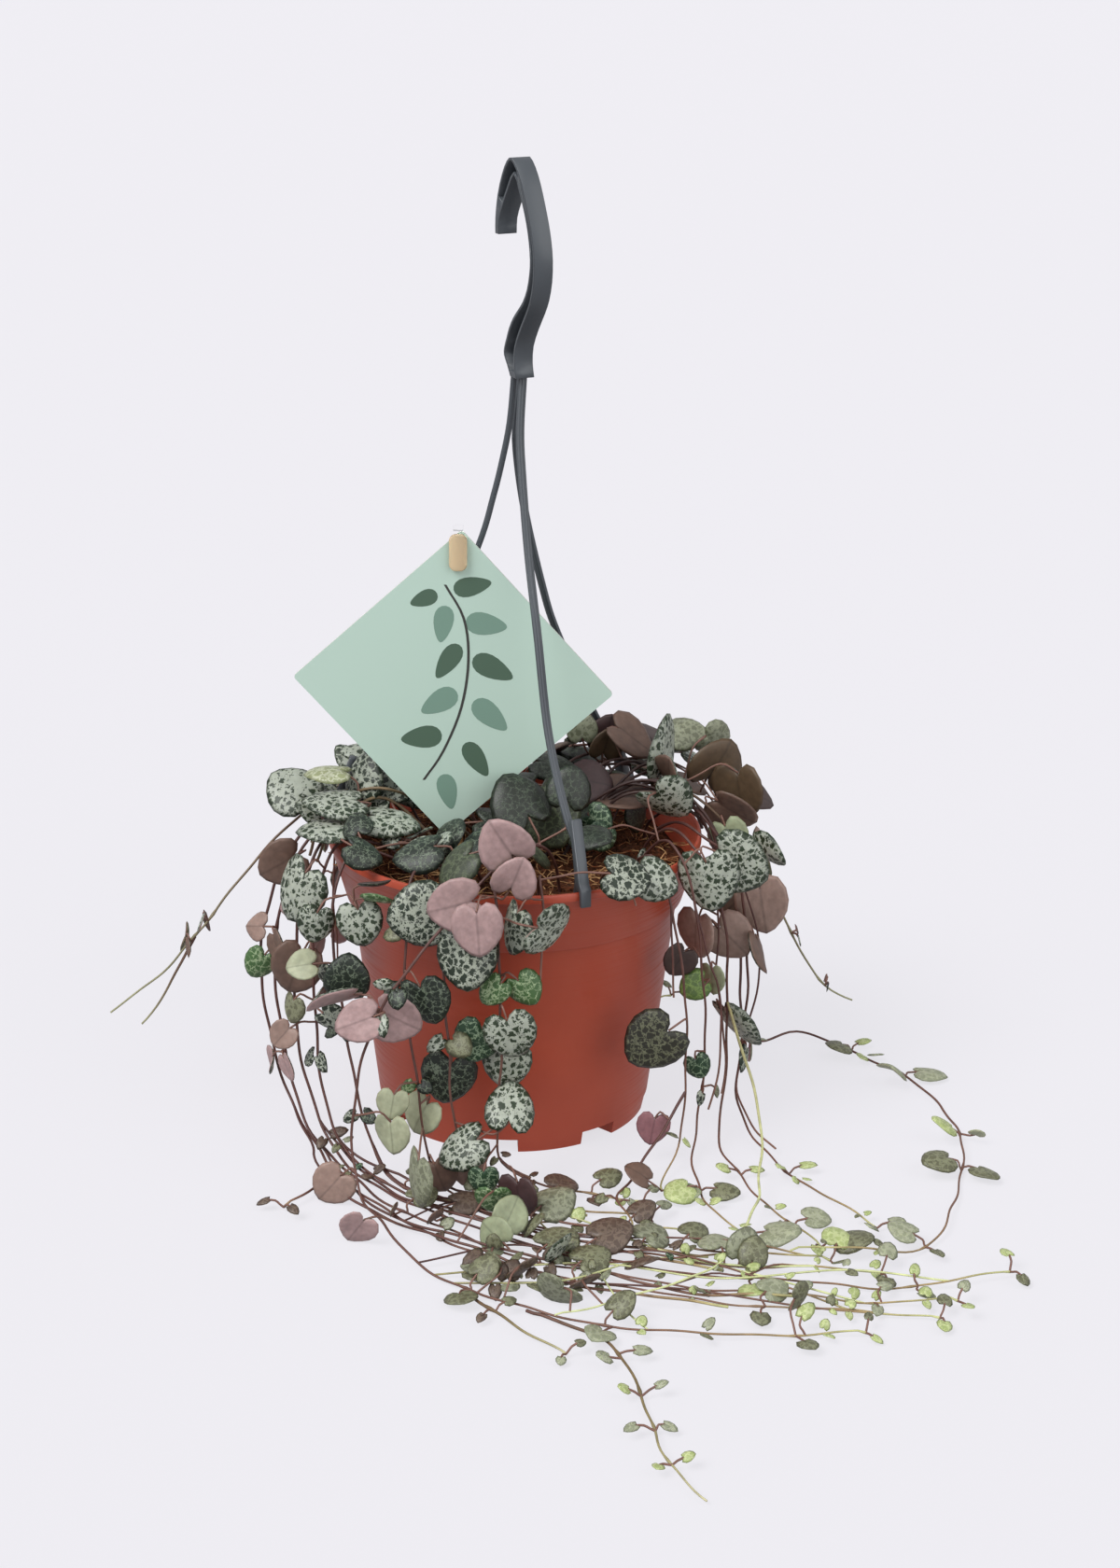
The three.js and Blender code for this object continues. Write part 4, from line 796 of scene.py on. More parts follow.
def make_card():
    """The board with its printed sprig, each leaf of it a thin film of ink."""
    board = prism("board", rounded_outline(CARD_SIDE, CARD_SIDE, CARD_CORNER), CARD_THICKNESS / 2,
                  on_card, [CARD_BOARD, CARD_EDGE])
    for face in board.data.polygons:
        face.material_index = 0 if len(face.vertices) > 4 else 1

    def printed(outline, proud, ink):
        return prism("print", outline, proud, lambda u, v, d: on_card(u, v, CARD_THICKNESS / 2 + d), [ink])

    inks = [PRINT_DARK, PRINT_MIDDLE]
    prints = [printed(oval(*leaf), PRINT_PROUD, inks[ink]) for *leaf, ink in SPRIG_LEAVES]
    line = curve_points([Vector((u, v, 0)) for u, v in SPRIG_LINE], 3)
    left = [(p.x - LINE_HALF, p.y - LINE_HALF) for p in line]
    right = [(p.x + LINE_HALF, p.y + LINE_HALF) for p in reversed(line)]
    prints.append(printed(left + right, 1.5 * PRINT_PROUD, PRINT_LINE))
    return belongs(joined("printed_card", [board, *prints]), "card_board", "care_card")


def make_stick():
    """The round stick behind the card, from the compost to the clip."""
    x, y = STICK_PLACE
    line = [Vector((x, y, z)) for z in (STICK_ENDS[0], 120, 150, STICK_ENDS[1])]
    section = [(STICK_RADIUS * math.cos(a), STICK_RADIUS * math.sin(a))
               for a in (math.tau * i / 20 for i in range(20))]
    stick = swept("birch_stick", section, line, lambda ahead: Vector((1, 0, 0)), [BIRCH])
    return belongs(smooth_by_angle(stick), "stick_wood", "card_stick")


def make_card_clip():
    """The clip on the card's top corner: a rounded front leg, and a bridge to a leg behind the stick."""
    x = STICK_PLACE[0]
    width, height, corner = CLIP_LEG
    y, z = CLIP_LEG_FRONT + CLIP_LEG_THICKNESS / 2, CLIP_LEG_TOP - height / 2
    leg = prism("leg", rounded_outline(width, height, corner), CLIP_LEG_THICKNESS / 2,
                lambda u, v, d: Vector((x + u, y + d, z + v)), [AMBER_PLASTIC])
    bridge = prism("bridge", CLIP_BRIDGE, CLIP_BRIDGE_WIDTH / 2, lambda v, w, d: Vector((x + d, v, w)),
                   [CLEAR_PLASTIC])
    clip = joined("clear_clip", [bevelled(leg, 0.5), bevelled(bridge, 0.2)])
    return belongs(smooth_by_angle(clip), "clip_plastic", "card_clip")


# ---------------------------------------------------------------- the plant's routes

# Each stem as its CAD node, its place in the compost, and its route as (x, y, z), then, where a pair of
# leaves stands, their length and 1 for faces outwards or -1 for undersides outwards.
VINES = [
  ("vine_left_tip", (-36, 26), [
    (-45, 23, 98, 14), (-57.5, 20.5, 99, 13), (-72, 10, 92), (-86, 0, 80), (-97, -6, 66, 8),
    (-103, -8, 59, 9, -1), (-114, -9, 47), (-131, -10, 33)]),
  ("vine_left_sweep_1", (-38, 7), [
    (-46, 4, 98, 17), (-61.5, -2, 99, 15), (-74, -9, 86), (-80, -14, 66), (-81, -16, 46),
    (-78, -19, 26), (-71, -28, 9), (-63, -44, 2), (-56, -60, 1.2), (-44, -80, 1.2),
    (-28, -98, 1.2), (-8, -116, 1.2, 9), (16, -128, 1.2, 10), (42, -137, 1.2), (70, -144, 1.2, 8),
    (98, -147, 1.2), (122, -150, 1.5, 6)]),
  ("vine_left_sweep_2", (-40, -5), [
    (-48, -6, 100, 18), (-60.6, -10.7, 99), (-70, -17, 88), (-75, -22, 68, 11, -1), (-76, -25, 48),
    (-73, -29, 28, 8, -1), (-67, -37, 10), (-59, -50, 2), (-48, -68, 1.2), (-34, -86, 1.2, 9),
    (-16, -103, 1.2), (6, -117, 1.2, 12), (30, -127, 1.2), (54, -133, 1.2, 9), (80, -138, 1.2),
    (104, -141, 1.2, 7), (128, -143, 3, 5)]),
  ("vine_left_sweep_3", (-36, -14), [
    (-46, -16, 99), (-58.5, -19, 98.5), (-66, -26, 84), (-69, -31, 64), (-69, -34, 44),
    (-66, -38, 24), (-60, -46, 8), (-52, -58, 1.5), (-38, -75, 1.2), (-22, -90, 1.2, 11),
    (-2, -104, 1.2), (20, -115, 1.2, 12), (44, -123, 1.2), (68, -128, 1.2, 10), (92, -131, 1.2),
    (116, -133, 1.2, 6), (146, -124, 2, 5)]),
  ("vine_left_sweep_4", (-33, -22), [
    (-43, -25, 98), (-55.3, -27, 98.5), (-62, -34, 82, 10, -1), (-63, -39, 62), (-62, -43, 42),
    (-59, -48, 20), (-52, -56, 4), (-40, -68, 1.2, 10), (-24, -82, 1.2), (-6, -95, 1.2, 13),
    (14, -106, 1.2), (36, -114, 1.2, 11), (60, -119, 1.2, 12), (84, -122, 1.2), (108, -124, 1.2, 7)]),
  ("vine_left_sweep_5", (-28, -28), [
    (-40, -33, 97), (-51, -34.4, 99), (-56, -42, 84), (-55, -48, 64), (-52, -53, 44),
    (-48, -57, 26), (-43, -61, 7), (-34, -71, 1.2, 10), (-16, -84, 1.2, 12), (4, -95, 1.2, 13),
    (26, -103, 1.2), (50, -109, 1.2, 10), (74, -113, 1.2), (94, -116, 1.2, 8)]),
  ("vine_front_over", (14, -32), [
    (10, -46, 104), (0, -58, 108), (-14, -67, 97), (-26, -75, 84), (-38, -78, 68),
    (-45, -77, 52), (-48, -76, 34), (-49, -79, 16), (-46, -88, 6), (-38, -103, 4.5),
    (-28, -120, 1.4), (-14, -134, 1.2, 8), (4, -146, 1.2), (26, -155, 1.2, 9), (54, -160, 1.2),
    (80, -160, 1.2, 8), (100, -158, 1.2, 5)]),
  ("vine_front_1", (-18, -30), [
    (-24, -44, 98, 14), (-30.8, -53.3, 99), (-33, -61, 86), (-33, -64, 66), (-31, -66, 46),
    (-29, -67, 28), (-26, -69, 11), (-18, -76, 1.6), (-4, -85, 1.2, 10), (14, -92, 1.2),
    (34, -97, 1.2, 9), (54, -101, 1.2)]),
  ("vine_front_2", (-10, -32), [
    (-17, -46, 100), (-21, -57.8, 99), (-22, -64, 84), (-21, -66, 66), (-20, -67.5, 46),
    (-19, -68.5, 28), (-14, -70, 11), (-4, -75, 1.8), (10, -81, 1.2, 9), (26, -86, 1.2),
    (42, -91, 1.2, 7)]),
  ("vine_front_3", (-2, -33), [
    (-5, -48, 97), (-6.4, -61.2, 99), (-5, -66, 84), (-4, -67.5, 66), (-4, -68.5, 46),
    (-5, -69, 26), (-3, -69, 9), (8, -71, 1.4), (24, -75, 1.2, 8), (40, -79, 1.2, 7)]),
  ("vine_front_4", (7, -38), [
    (8, -50, 97), (7.5, -61, 98.5), (9, -66, 86), (8, -67, 70)]),
  ("vine_right_1", (27, -30), [
    (30, -42, 96), (34.4, -51, 98.5), (37, -56.5, 90)]),
  ("vine_right_2", (36, -24), [
    (40, -34, 97), (44, -43, 99), (49, -49, 84), (52, -50, 64), (54, -49, 44),
    (54, -49, 24), (52, -52, 8), (48, -62, 1.6), (46, -72, 1.2, 8, -1)]),
  ("vine_right_3", (40, -13), [
    (46, -24, 99), (50.5, -35.5, 99.5), (56, -42, 84), (59, -42, 62), (60, -41, 42),
    (60, -41, 22, 6), (58, -44, 6), (56, -56, 1.4), (58, -72, 1.2, 9), (62, -88, 1.2),
    (70, -103, 1.2, 12)]),
  ("vine_right_4", (42, -2), [
    (48, -14, 99), (55.3, -27, 99.5), (63, -31, 86), (67, -30, 66), (68, -29, 46),
    (68, -28, 26), (67, -30, 10), (66, -42, 1.6), (70, -60, 1.2, 6), (76, -78, 1.2), (84, -94, 1.2, 9),
    (92, -108, 1.2, 10)]),
  ("vine_right_5", (44, 9), [
    (51, -4, 98), (59.1, -17, 98), (70, -19, 88), (74, -18, 68, 13, -1), (75, -16, 46),
    (74, -16, 26, 8), (73, -20, 8), (76, -36, 1.3), (86, -58, 1.2, 7), (98, -80, 1.2), (110, -96, 1.2, 6)]),
  ("vine_right_loop", (43, 18), [
    (53, 5, 100), (61.2, -6.4, 99.5), (70, -6, 84), (74, -2, 62), (75, 8, 38), (77, 22, 14),
    (84, 36, 2), (98, 44, 1.2), (114, 33, 1.2, 8), (130, 11, 1.2, 10), (141, -14, 1.2),
    (144, -34, 1.2, 9), (141, -56, 1.2, 11), (135, -84, 1.2), (123, -108, 1.2, 8), (104, -116, 4.4),
    (82, -116, 4.4)]),
  ("vine_right_tip", (40, 27), [
    (52, 17, 101), (61.5, 5, 100), (74, 3, 88, 16, -1), (82, 1, 74), (90, 0, 58, 5), (100, -1, 42, 4),
    (111, -2, 35)]),
  ("vine_wreath_1", (8, 36), [
    (16, 40, 97, 14), (28, 36, 104, 16), (40, 33, 107, 18, -1), (50, 26, 108, 15), (59, 17, 106),
    (66, 8, 100)]),
  ("vine_wreath_2", (-6, 40), [
    (3, 50, 98, 15), (18, 54, 103, 16, -1), (35, 52, 104, 14), (50, 42, 103, 15), (62, 29, 98, 18, -1),
    (71, 19, 84, 17, -1)]),
  ("vine_back_1", (4, 26), [
    (6, 42, 92), (7, 60, 98.5), (8, 67, 84, 15), (9, 69, 62, 14), (8, 69, 40, 12), (8, 70, 18, 9),
    (10, 76, 2.4), (18, 90, 1.2, 8), (34, 102, 1.2, 7), (50, 106, 1.2, 5)]),
  ("vine_back_2", (22, 26), [
    (26, 40, 93), (31, 52.5, 97.6), (34, 60, 84, 15), (36, 61, 62, 13), (37, 60, 42, 13), (37, 61, 22),
    (38, 63, 6, 9), (44, 70, 1.3), (56, 78, 1.2, 6)]),
  ("vine_back_3", (-14, 28), [
    (-15, 44, 97, 16), (-16, 59.4, 99), (-17, 66, 84, 14), (-18, 68, 62, 13), (-18, 69, 40, 12),
    (-18, 69, 18, 9), (-20, 74, 2.4), (-30, 86, 1.2, 7), (-46, 92, 1.2, 6)]),
  ("vine_back_4", (-26, 34), [
    (-31, 42, 98, 15), (-36, 50, 99), (-41, 56, 84, 14), (-43, 58, 62, 14), (-43, 59, 40, 12),
    (-42, 59, 20, 10)]),
  ("vine_back_5", (-30, 14), [
    (-41, 24, 104, 16), (-51, 34, 100, 15), (-58, 39, 84, 15), (-61, 41, 62, 13), (-61, 41, 42, 12),
    (-60, 40, 22, 9)]),
  ("vine_wreath_3", (26, 16), [
    (32, 22, 98, 16), (42, 20, 103, 17, -1), (52, 10, 105, 17)]),
  ("vine_crown_rim", (-29, -1), [
    (-36, -7, 98, 16), (-46, -10, 103), (-54, -12, 103)]),
  ("vine_crown_card", (-21, -19), [
    (-27, -27, 98, 17), (-37, -33, 101), (-45, -36, 100, 10)]),
  ("vine_crown_left", (-24, -8), [
    (-27, -18, 95, 14), (-34, -24, 99, 12), (-42, -19, 100)]),
  ("vine_crown_front", (4, -16), [
    (6, -24, 97, 19), (16, -24, 103, 12)]),
  ("vine_crown_right", (30, 6), [
    (35, 10, 99, 16), (44, 15, 102)]),
  ("vine_crown_back", (-12, 12), [
    (-18, 18, 98, 17), (-28, 22, 106, 16)]),
  ("vine_crown_middle", (14, 8), [
    (14, 14, 97, 17), (22, 22, 104, 16)]),
]

# Side stems, as the node of the stem that each grows from, and its route.
BRANCHES = [
  ("vine_left_tip", [(-103, -8, 59), (-112, -9, 42), (-121, -10, 29)]),
  ("vine_front_over", [
    (4, -146, 1.2), (20, -158, 1.2), (30, -172, 1.2, 8), (35, -190, 1.2, 6), (37, -208, 1.2, 7),
    (41, -226, 1.2, 5), (50, -243, 1.4)]),
  ("vine_front_over", [
    (-14, -134, 1.2), (-6, -147, 1.2, 6), (4, -160, 1.2), (15, -170, 1.2, 5)]),
  ("vine_left_sweep_1", [(-56, -60, 1.2), (-62, -73, 1.2), (-70, -84, 1.4, 6)]),
  ("vine_right_2", [
    (54, -49, 24), (46, -56, 13), (38, -68, 4.4), (32, -84, 3.6, 6), (36, -102, 3.6)]),
  ("vine_right_4", [
    (68, -29, 46), (74, -38, 28), (78, -54, 12), (76, -76, 5), (71, -98, 4.6), (62, -122, 4.6),
    (46, -138, 4.6), (26, -149, 4.4), (12, -154, 4.4)]),
]

# The leaves that show most, as (x, y, z of the blade's middle, length, the way the tip points from
# straight down, its lean to the front, the blade's turn about its length, face, look). Face is 1 for
# the upper side in front. The look names the finish of the side in front.
PLACED_LEAVES = [
    # Over the front of the rim.
    (-3, -67, 114, 17, -149, 10, 0, -1, "pink"), (0, -67, 103, 14, 160, 10, 0, -1, "pink"),
    (-17, -68, 95, 17, -75, 0, 10, -1, "pink"), (-11, -73, 90, 16.5, 4, 0, 0, -1, "pink"),
    (-28, -64, 90, 19, -80, 0, 15, 1, "marbled"), (-14, -70, 79, 19, 0, 20, 0, 1, "marbled"),
    (0, -69, 88, 16, -12, 0, 62, 1, "marbled"), (10, -69, 88, 18, 62, -45, 0, 1, "silver"),
    # Down the front of the pot.
    (-27, -68, 64, 16, 20, 0, 20, 1, "dark"), (-6, -68, 67, 10.5, -40, 0, 15, 1, "netted"),
    (3, -69, 68, 11.5, 35, 0, 0, 1, "netted"), (-11, -69, 51, 14, -20, 0, 0, 1, "netdark"),
    (-1, -73, 55, 16, 15, 0, 0, 1, "silver"), (-2, -68, 42, 15, 0, 0, 0, 1, "silver"),
    (-20, -66, 37, 17, -10, 0, 0, 1, "dark"), (-1, -70, 29, 17, 172, -48, 0, 1, "silver"),
    (-15, -72, 17, 17, -57, 0, 52, 1, "silver"), (-14, -74, 11, 13, 0, 0, 0, -1, "mauve"),
    (-29, -90, 15, 18, -5, 0, 66, 1, "grey"), (-23, -76, 9, 12, 20, 0, 0, -1, "brown"),
    (-37, -72, 31, 10, -10, 0, 0, -1, "cream"), (-37, -74, 22, 12.5, 8, 0, 30, -1, "cream"),
    (-28, -68, 25, 13, -25, 0, 35, -1, "cream"), (-36, -78, 62, 16, 62, 0, 0, -1, "pink"),
    (-46, -78, 61, 14.5, -68, 0, 25, -1, "pink"), (-54, -70, 65, 17, -75, 0, -58, -1, "pink"),
    (-51, -62, 68, 14, 175, 0, 0, 1, "dark"), (-56, -60, 54, 10, 60, 0, 20, 1, "marbled"),
    # Down the left side.
    (-47, -58, 85, 14, 10, 15, 0, 1, "silver"), (-42, -60, 93, 11, 80, 0, 62, 1, "netted"),
    (-43, -57, 97, 10, 90, 0, 66, 1, "dark"), (-61, -52, 82, 12.5, -10, 0, 0, 1, "silver"),
    (-67, -36, 87, 20, -22, 0, 45, 1, "silver"), (-73, -18, 89, 15.5, -60, 0, 0, -1, "brown"),
    (-68, -36, 61, 17, -20, 0, 10, -1, "brown"), (-65, -50, 67, 10, -80, 0, 35, -1, "cream"),
    (-69, -46, 51, 9.5, -10, 0, 45, 1, "olive"), (-72, -44, 41, 9.5, -40, 0, 20, -1, "mauve"),
    (-81, -22, 56, 11, -30, 0, 0, 1, "netted"),
    # The crown, left of the card.
    (-51, 14, 116, 11, -80, 0, 78, 1, "silver"), (-59, 5, 111, 15, -92, 0, 88, 1, "cream"),
    (-49, 12, 106, 13, 10, 25, 30, 1, "netdark"), (-56, -10, 106, 20, -90, 10, 84, 1, "silver"),
    (-40, -20, 104, 19, 85, 10, -80, 1, "silver"), (-58, -25, 103, 19, -88, 0, 86, 1, "silver"),
    (-47, -37, 100, 13, 60, 0, -62, 1, "dark"), (-29, -39, 101, 16, -70, 0, 66, 1, "dark"),
    (-17, -52, 102, 16, -48, 0, 62, 1, "darkolive"), (-10, -30, 100, 15, -60, 20, 60, 1, "dark"),
    # The crown, behind the card and the front strap. The shaded leaves here are painted shade.
    (10, -8, 102, 22, 30, 30, 0, 1, "darkolive"), (-6, -12, 99, 16, 70, 0, -60, 1, "shaded"),
    (0, 12, 104, 17, -80, 0, 70, 1, "shaded"), (12, 24, 107, 16, 80, 10, -70, 1, "shaded"),
    (21, 3, 99, 14, -70, 20, 60, 1, "shaded"), (34, 7, 102, 18, 85, 0, -70, -1, "brown"),
    (24, 16, 104, 14, 80, 0, -40, -1, "purple"), (30, 38, 113, 13, 165, 0, 0, -1, "purple"),
    (37, 32, 114, 18, 48, 0, -62, -1, "brown"), (22, 34, 116, 11, 180, 0, 0, 1, "grey"),
    (26, -4, 98, 11, 60, 30, 0, 1, "netdark"), (28, -15, 97, 10, -40, 40, 0, 1, "netdark"),
    # The crown, right of the card.
    (48, 18, 114, 23, 180, 0, 68, 1, "silver"), (48, -9, 107, 18, 48, -20, 20, 1, "silver"),
    (56, 34, 115, 13, 90, 0, -55, 1, "grey"), (65, 26, 116, 14, 60, -35, 0, 1, "grey"),
    (65, 19, 109, 18, 150, 0, 20, -1, "umber"), (73, 14, 103, 19, 10, 0, 35, -1, "umber"),
    (70, 6, 99, 17, 60, 0, 30, -1, "brown"), (69, 4, 90, 14, 20, 0, 0, -1, "green"),
    (33, -55, 99, 15, 75, 0, -50, 1, "marbled"), (43, -52, 97, 14, 62, 0, -38, 1, "silver"),
    # Down the right side.
    (60, -33, 90, 20, 8, 0, 12, 1, "silver"), (69, -30, 94, 20, 62, 15, 0, 1, "silver"),
    (79, -15, 75, 19, 10, 0, 5, -1, "mauve"), (73, -12, 76, 17, -40, 0, 10, -1, "brown"),
    (68, -24, 67, 15.5, 45, 0, 0, -1, "mauve"), (58, -26, 69, 16, 0, 0, 50, -1, "mauve"),
    (52, -34, 63, 11, -30, 0, 0, -1, "dark"), (57, -36, 55, 10, -60, 0, 30, 1, "leaf green"),
    (63, -30, 55, 10, 10, 0, 45, -1, "green"), (44, -52, 43, 19, -50, 0, 0, 1, "bronze"),
    (71, -28, 38, 20, 36, 0, 58, 1, "silver"), (58, -42, 30, 9, 20, 0, 0, 1, "netdark"),
    (44, -54, 14, 10.5, -10, 0, 0, -1, "wine"),
    # On the ground.
    (-55, -79, 7, 13, -40, 0, 10, -1, "mauve"), (-46, -104, 6, 13, -30, -25, 0, -1, "pink"),
    (-9, -85, 12, 9, 0, 0, 0, 1, "netdark"), (-6, -94, 10, 10.5, 0, -20, 0, 1, "netted"),
    (2, -96, 12, 13.5, 10, 0, 35, -1, "purple"), (-1, -101, 8, 11.5, 150, -40, 0, -1, "green"),
    (-5, -110, 6, 11.5, -120, -40, 0, -1, "green"), (13, -140, 5, 13.5, -40, -40, 0, 1, "grey"),
    (21, -133, 4, 10, 30, -50, 0, 1, "brown"), (14, -122, 8, 10.5, 150, 0, 55, 1, "silver"),
    (-5, -124, 4, 10.5, -60, -50, 0, 1, "olive"), (3, -123, 4, 10.5, 40, -50, 0, 1, "brown"),
    (68, -120, 8, 10.5, 160, -20, 0, 1, "grey"), (82, -142, 5, 10, 80, -50, 0, 1, "olive"),
]

# ---------------------------------------------------------------- where the leaves stand

STEM_START = (SOIL_TOP - 6, SOIL_TOP + 4)
SMALLEST_CAD_LEAF = 9
LEAF_TRIES = 14
LEAF_SWING_DEG, SWING_PER_TRY_DEG = 30, 6
LEAF_LIFT_DEG, LIFT_PER_TRY_DEG = 24, 5
SHRINK_PER_TRY = 0.03
HIGH, LOW = 92, 12            # a stem is in the crown above HIGH, and on the ground below LOW
BLADE_MIDDLE = 0.42           # along a blade 1 long
CAD_DROOP = 0.45              # how far the sides of a CAD blade droop
GROUND = 0.25
MATCH_WITHIN = 0.3
SIDE_REACH = 0.52             # from the middle of a CAD leaf to its corner at the side
PLACING_SHIFTS = (0, 1.5, -1.5, 3, -3, 4.5, -4.5, 6, 7.5, 9)
FRONT_AND_UP = Vector((0, -0.942, 0.337))


def seeded_draw(seed):
    """Even random numbers from 0 to 1, the same as the part's own."""
    state = (seed * 7919 + 104729) % 2147483647
    count = 0
    while True:
        state = (state * 16807) % 2147483647
        count += 1
        if count > 2:
            yield state / 2147483647


def light_side(point):
    """The side of a stem that faces the light."""
    radial = Vector((point.x, point.y, 0)).normalized()
    if point.z > HIGH:
        way = radial * 0.4 + FRONT * 0.4 + UP
    elif point.z < LOW:
        way = radial * 0.35 + UP
    else:
        way = radial + UP * 0.3
    return way.normalized()


def turned(vector, axis, angle):
    """A direction turned about an axis."""
    return Matrix.Rotation(angle, 3, axis) @ vector


def leaf_pose(points, i, side, length, face, attempt, draw):
    """Where one leaf of a pair stands on one try: its base, the ways to its tip and out of its upper
    face, and its length. Each try turns it further and makes it a little smaller."""
    along = (points[min(i + 1, len(points) - 1)] - points[max(i - 1, 0)]).normalized()
    light = light_side(points[i])
    across = along.cross(light).normalized() * side
    swing = math.radians((LEAF_SWING_DEG + SWING_PER_TRY_DEG * attempt) * (2 * next(draw) - 1))
    lift = math.radians((LEAF_LIFT_DEG + LIFT_PER_TRY_DEG * attempt) * (2 * next(draw) - 1))
    size = length * (1 - SHRINK_PER_TRY * attempt) * (1 + 0.2 * next(draw))
    stalk = 2.4 + 0.16 * size + 1.5 * next(draw)
    if LOW <= points[i].z <= HIGH:
        tip = across * 0.75 - UP * 0.85
    else:
        tip = across + along * 0.45
    tip = turned(tip.normalized(), light, swing).normalized()
    tip = turned(tip, tip.cross(light).normalized(), lift)
    normal = (light - tip * light.dot(tip)).normalized()
    base = points[i] + across * (0.8 * stalk) + light * (0.55 * stalk) + along * (0.2 * stalk)
    return {"base": base, "tip": tip, "normal": normal * face, "size": size}


def placed_pose(entry, shift):
    """Where a placed leaf stands, moved towards the front and up by a shift."""
    x, y, z, size, aim, lean, turn, face, _ = entry
    aim, lean, turn = (math.radians(angle) for angle in (aim, lean, turn))
    tip = Vector((math.sin(aim), 0, -math.cos(aim)))
    hinge = tip.cross(FRONT).normalized()
    tip = turned(tip, hinge, lean)
    normal = turned(turned(FRONT, hinge, lean), tip, turn)
    base = Vector((x, y, z)) + FRONT_AND_UP * shift - tip * (BLADE_MIDDLE * size)
    return {"base": base, "tip": tip, "normal": normal * face, "size": size}


def on_blade(pose, x, y):
    """A place on a CAD leaf, by its shares of the length along the blade and across it."""
    across = pose["normal"].cross(pose["tip"])
    drooped = pose["tip"] * x + across * y - pose["normal"] * CAD_DROOP * y * y
    return pose["base"] + drooped * pose["size"]


def lowest(pose):
    """The height of a leaf's lowest edge."""
    places = [on_blade(pose, x, y)
              for x, y in ((1, 0), (0.42, 0.48), (0.42, -0.48), (0.02, 0.36), (0.02, -0.36))]
    return min(p.z for p in places) - 0.06 * pose["size"] * abs(pose["normal"].z)


def node_tree(node):
    """The corners of a CAD node in millimetres, ready to be searched."""
    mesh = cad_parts[node].data
    tree = kdtree.KDTree(len(mesh.vertices))
    for vertex in mesh.vertices:
        tree.insert(vertex.co / MM, vertex.index)
    tree.balance()
    return tree


def stands_in(pose, corners):
    """Whether the CAD node has this leaf: its tip and the two widest corners of its edge are there."""
    spots = ((1, 0), (BLADE_MIDDLE, SIDE_REACH), (BLADE_MIDDLE, -SIDE_REACH))
    return all(corners.find(on_blade(pose, x, y))[2] <= MATCH_WITHIN for x, y in spots)


def find_leaf(points, i, k, index, side, leaf, corners):
    """The leaf on one side of a joint of a stem: the CAD's own where it has one, and for a small leaf
    the first place clear of the ground."""
    length, face = leaf
    draw = seeded_draw(1000 * index + 10 * k + side)
    for attempt in range(LEAF_TRIES):
        pose = leaf_pose(points, i, side, length, face, attempt, draw)
        if length >= SMALLEST_CAD_LEAF:
            if stands_in(pose, corners):
                return pose
        elif lowest(pose) > GROUND:
            return pose
    return None


def find_placed(entry, found):
    """The CAD node that carries a placed leaf, and where the leaf stands."""
    for shift in PLACING_SHIFTS:
        pose = placed_pose(entry, shift)
        for node, corners in found.items():
            if stands_in(pose, corners):
                return node, pose
    return None, None


# ---------------------------------------------------------------- what the leaves look like

# Reach of the heart's edge from the blade's middle, by angle from the tip, for a leaf 1 long.
HEART_EDGE = [(0, 0.57), (18, 0.54), (42, 0.5), (66, 0.5), (90, 0.52), (114, 0.55), (138, 0.565),
              (156, 0.51), (169, 0.38), (180, 0.25)]
SMALL_EDGE = [(0, 0.58), (32, 0.52), (70, 0.5), (106, 0.54), (142, 0.56), (168, 0.4), (180, 0.28)]
# Blade shapes, each as width, how far the sides droop, how far they fold up, and how the tip curls.
BLADES = [(1.0, 0.4, 0.0, 0.1), (0.92, 0.45, 0.06, 0.3), (1.04, 0.3, 0.04, -0.1), (0.88, 0.5, 0.1, 0.2),
          (1.0, 0.25, 0.16, 0.35), (0.96, 0.5, -0.05, 0.0)]
SMALL_BLADES = [(0.92, 0.35, 0.1, 0.1), (0.68, 0.4, 0.2, 0.25)]
BLADE_HALF = 0.058            # half the blade's thickness at its middle, for a length of 1
RIM_HALF = 0.004              # and at its edge
BLADE_RINGS, SMALL_BLADE_RINGS = (0.55, 0.88), (0.7,)      # rows of corners on the way to the edge

# Finishes of a leaf: island colour, net colour, and half the width of the net, in cells of the pattern.
TONES = {
    "silver": ("#2A3724", "#A9AFA1", 0.17),
    "marbled": ("#1E2A1C", "#A2A899", 0.12),
    # The dark tone is partly a leaf's own darker colour and partly painted shade.
    "dark": ("#1A231A", "#727E6B", 0.05),
    # The shaded tone is painted shade: a leaf darkened for the shade in the middle of the crown.
    "shaded": ("#20261D", "#4B5646", 0.05),
    "sage": ("#8F947A", "#A9AD92", 0.14),
    # The dark olive tone is partly a leaf's own colour and partly painted shade.
    "darkolive": ("#39402F", "#5C664C", 0.08),
    "netdark": ("#26402A", "#93A98A", 0.06),
    "netted": ("#46663A", "#A6BA90", 0.065),
    "olive": ("#62624A", "#828468", 0.13),
    "grey": ("#72755F", "#949880", 0.16),
    "brown": ("#56463C", "#6F5F52", 0.12),
    "leaf green": ("#56703A", "#7D9850", 0.08),
    "young": ("#A9B678", "#C4CE96", 0.12),
    "bronze": ("#2B2A22", "#6E7059", 0.065),
    "cream": ("#90966F", "#BDC1A6", 0.15),
}
UNDERS = {"pink": "#AC8F8D", "mauve": "#9C8277", "brown": "#70584C", "umber": "#5A4835",
          "dark": "#453430", "purple": "#483232", "wine": "#96686D", "green": "#98A080",
          "cream": "#AEB294"}
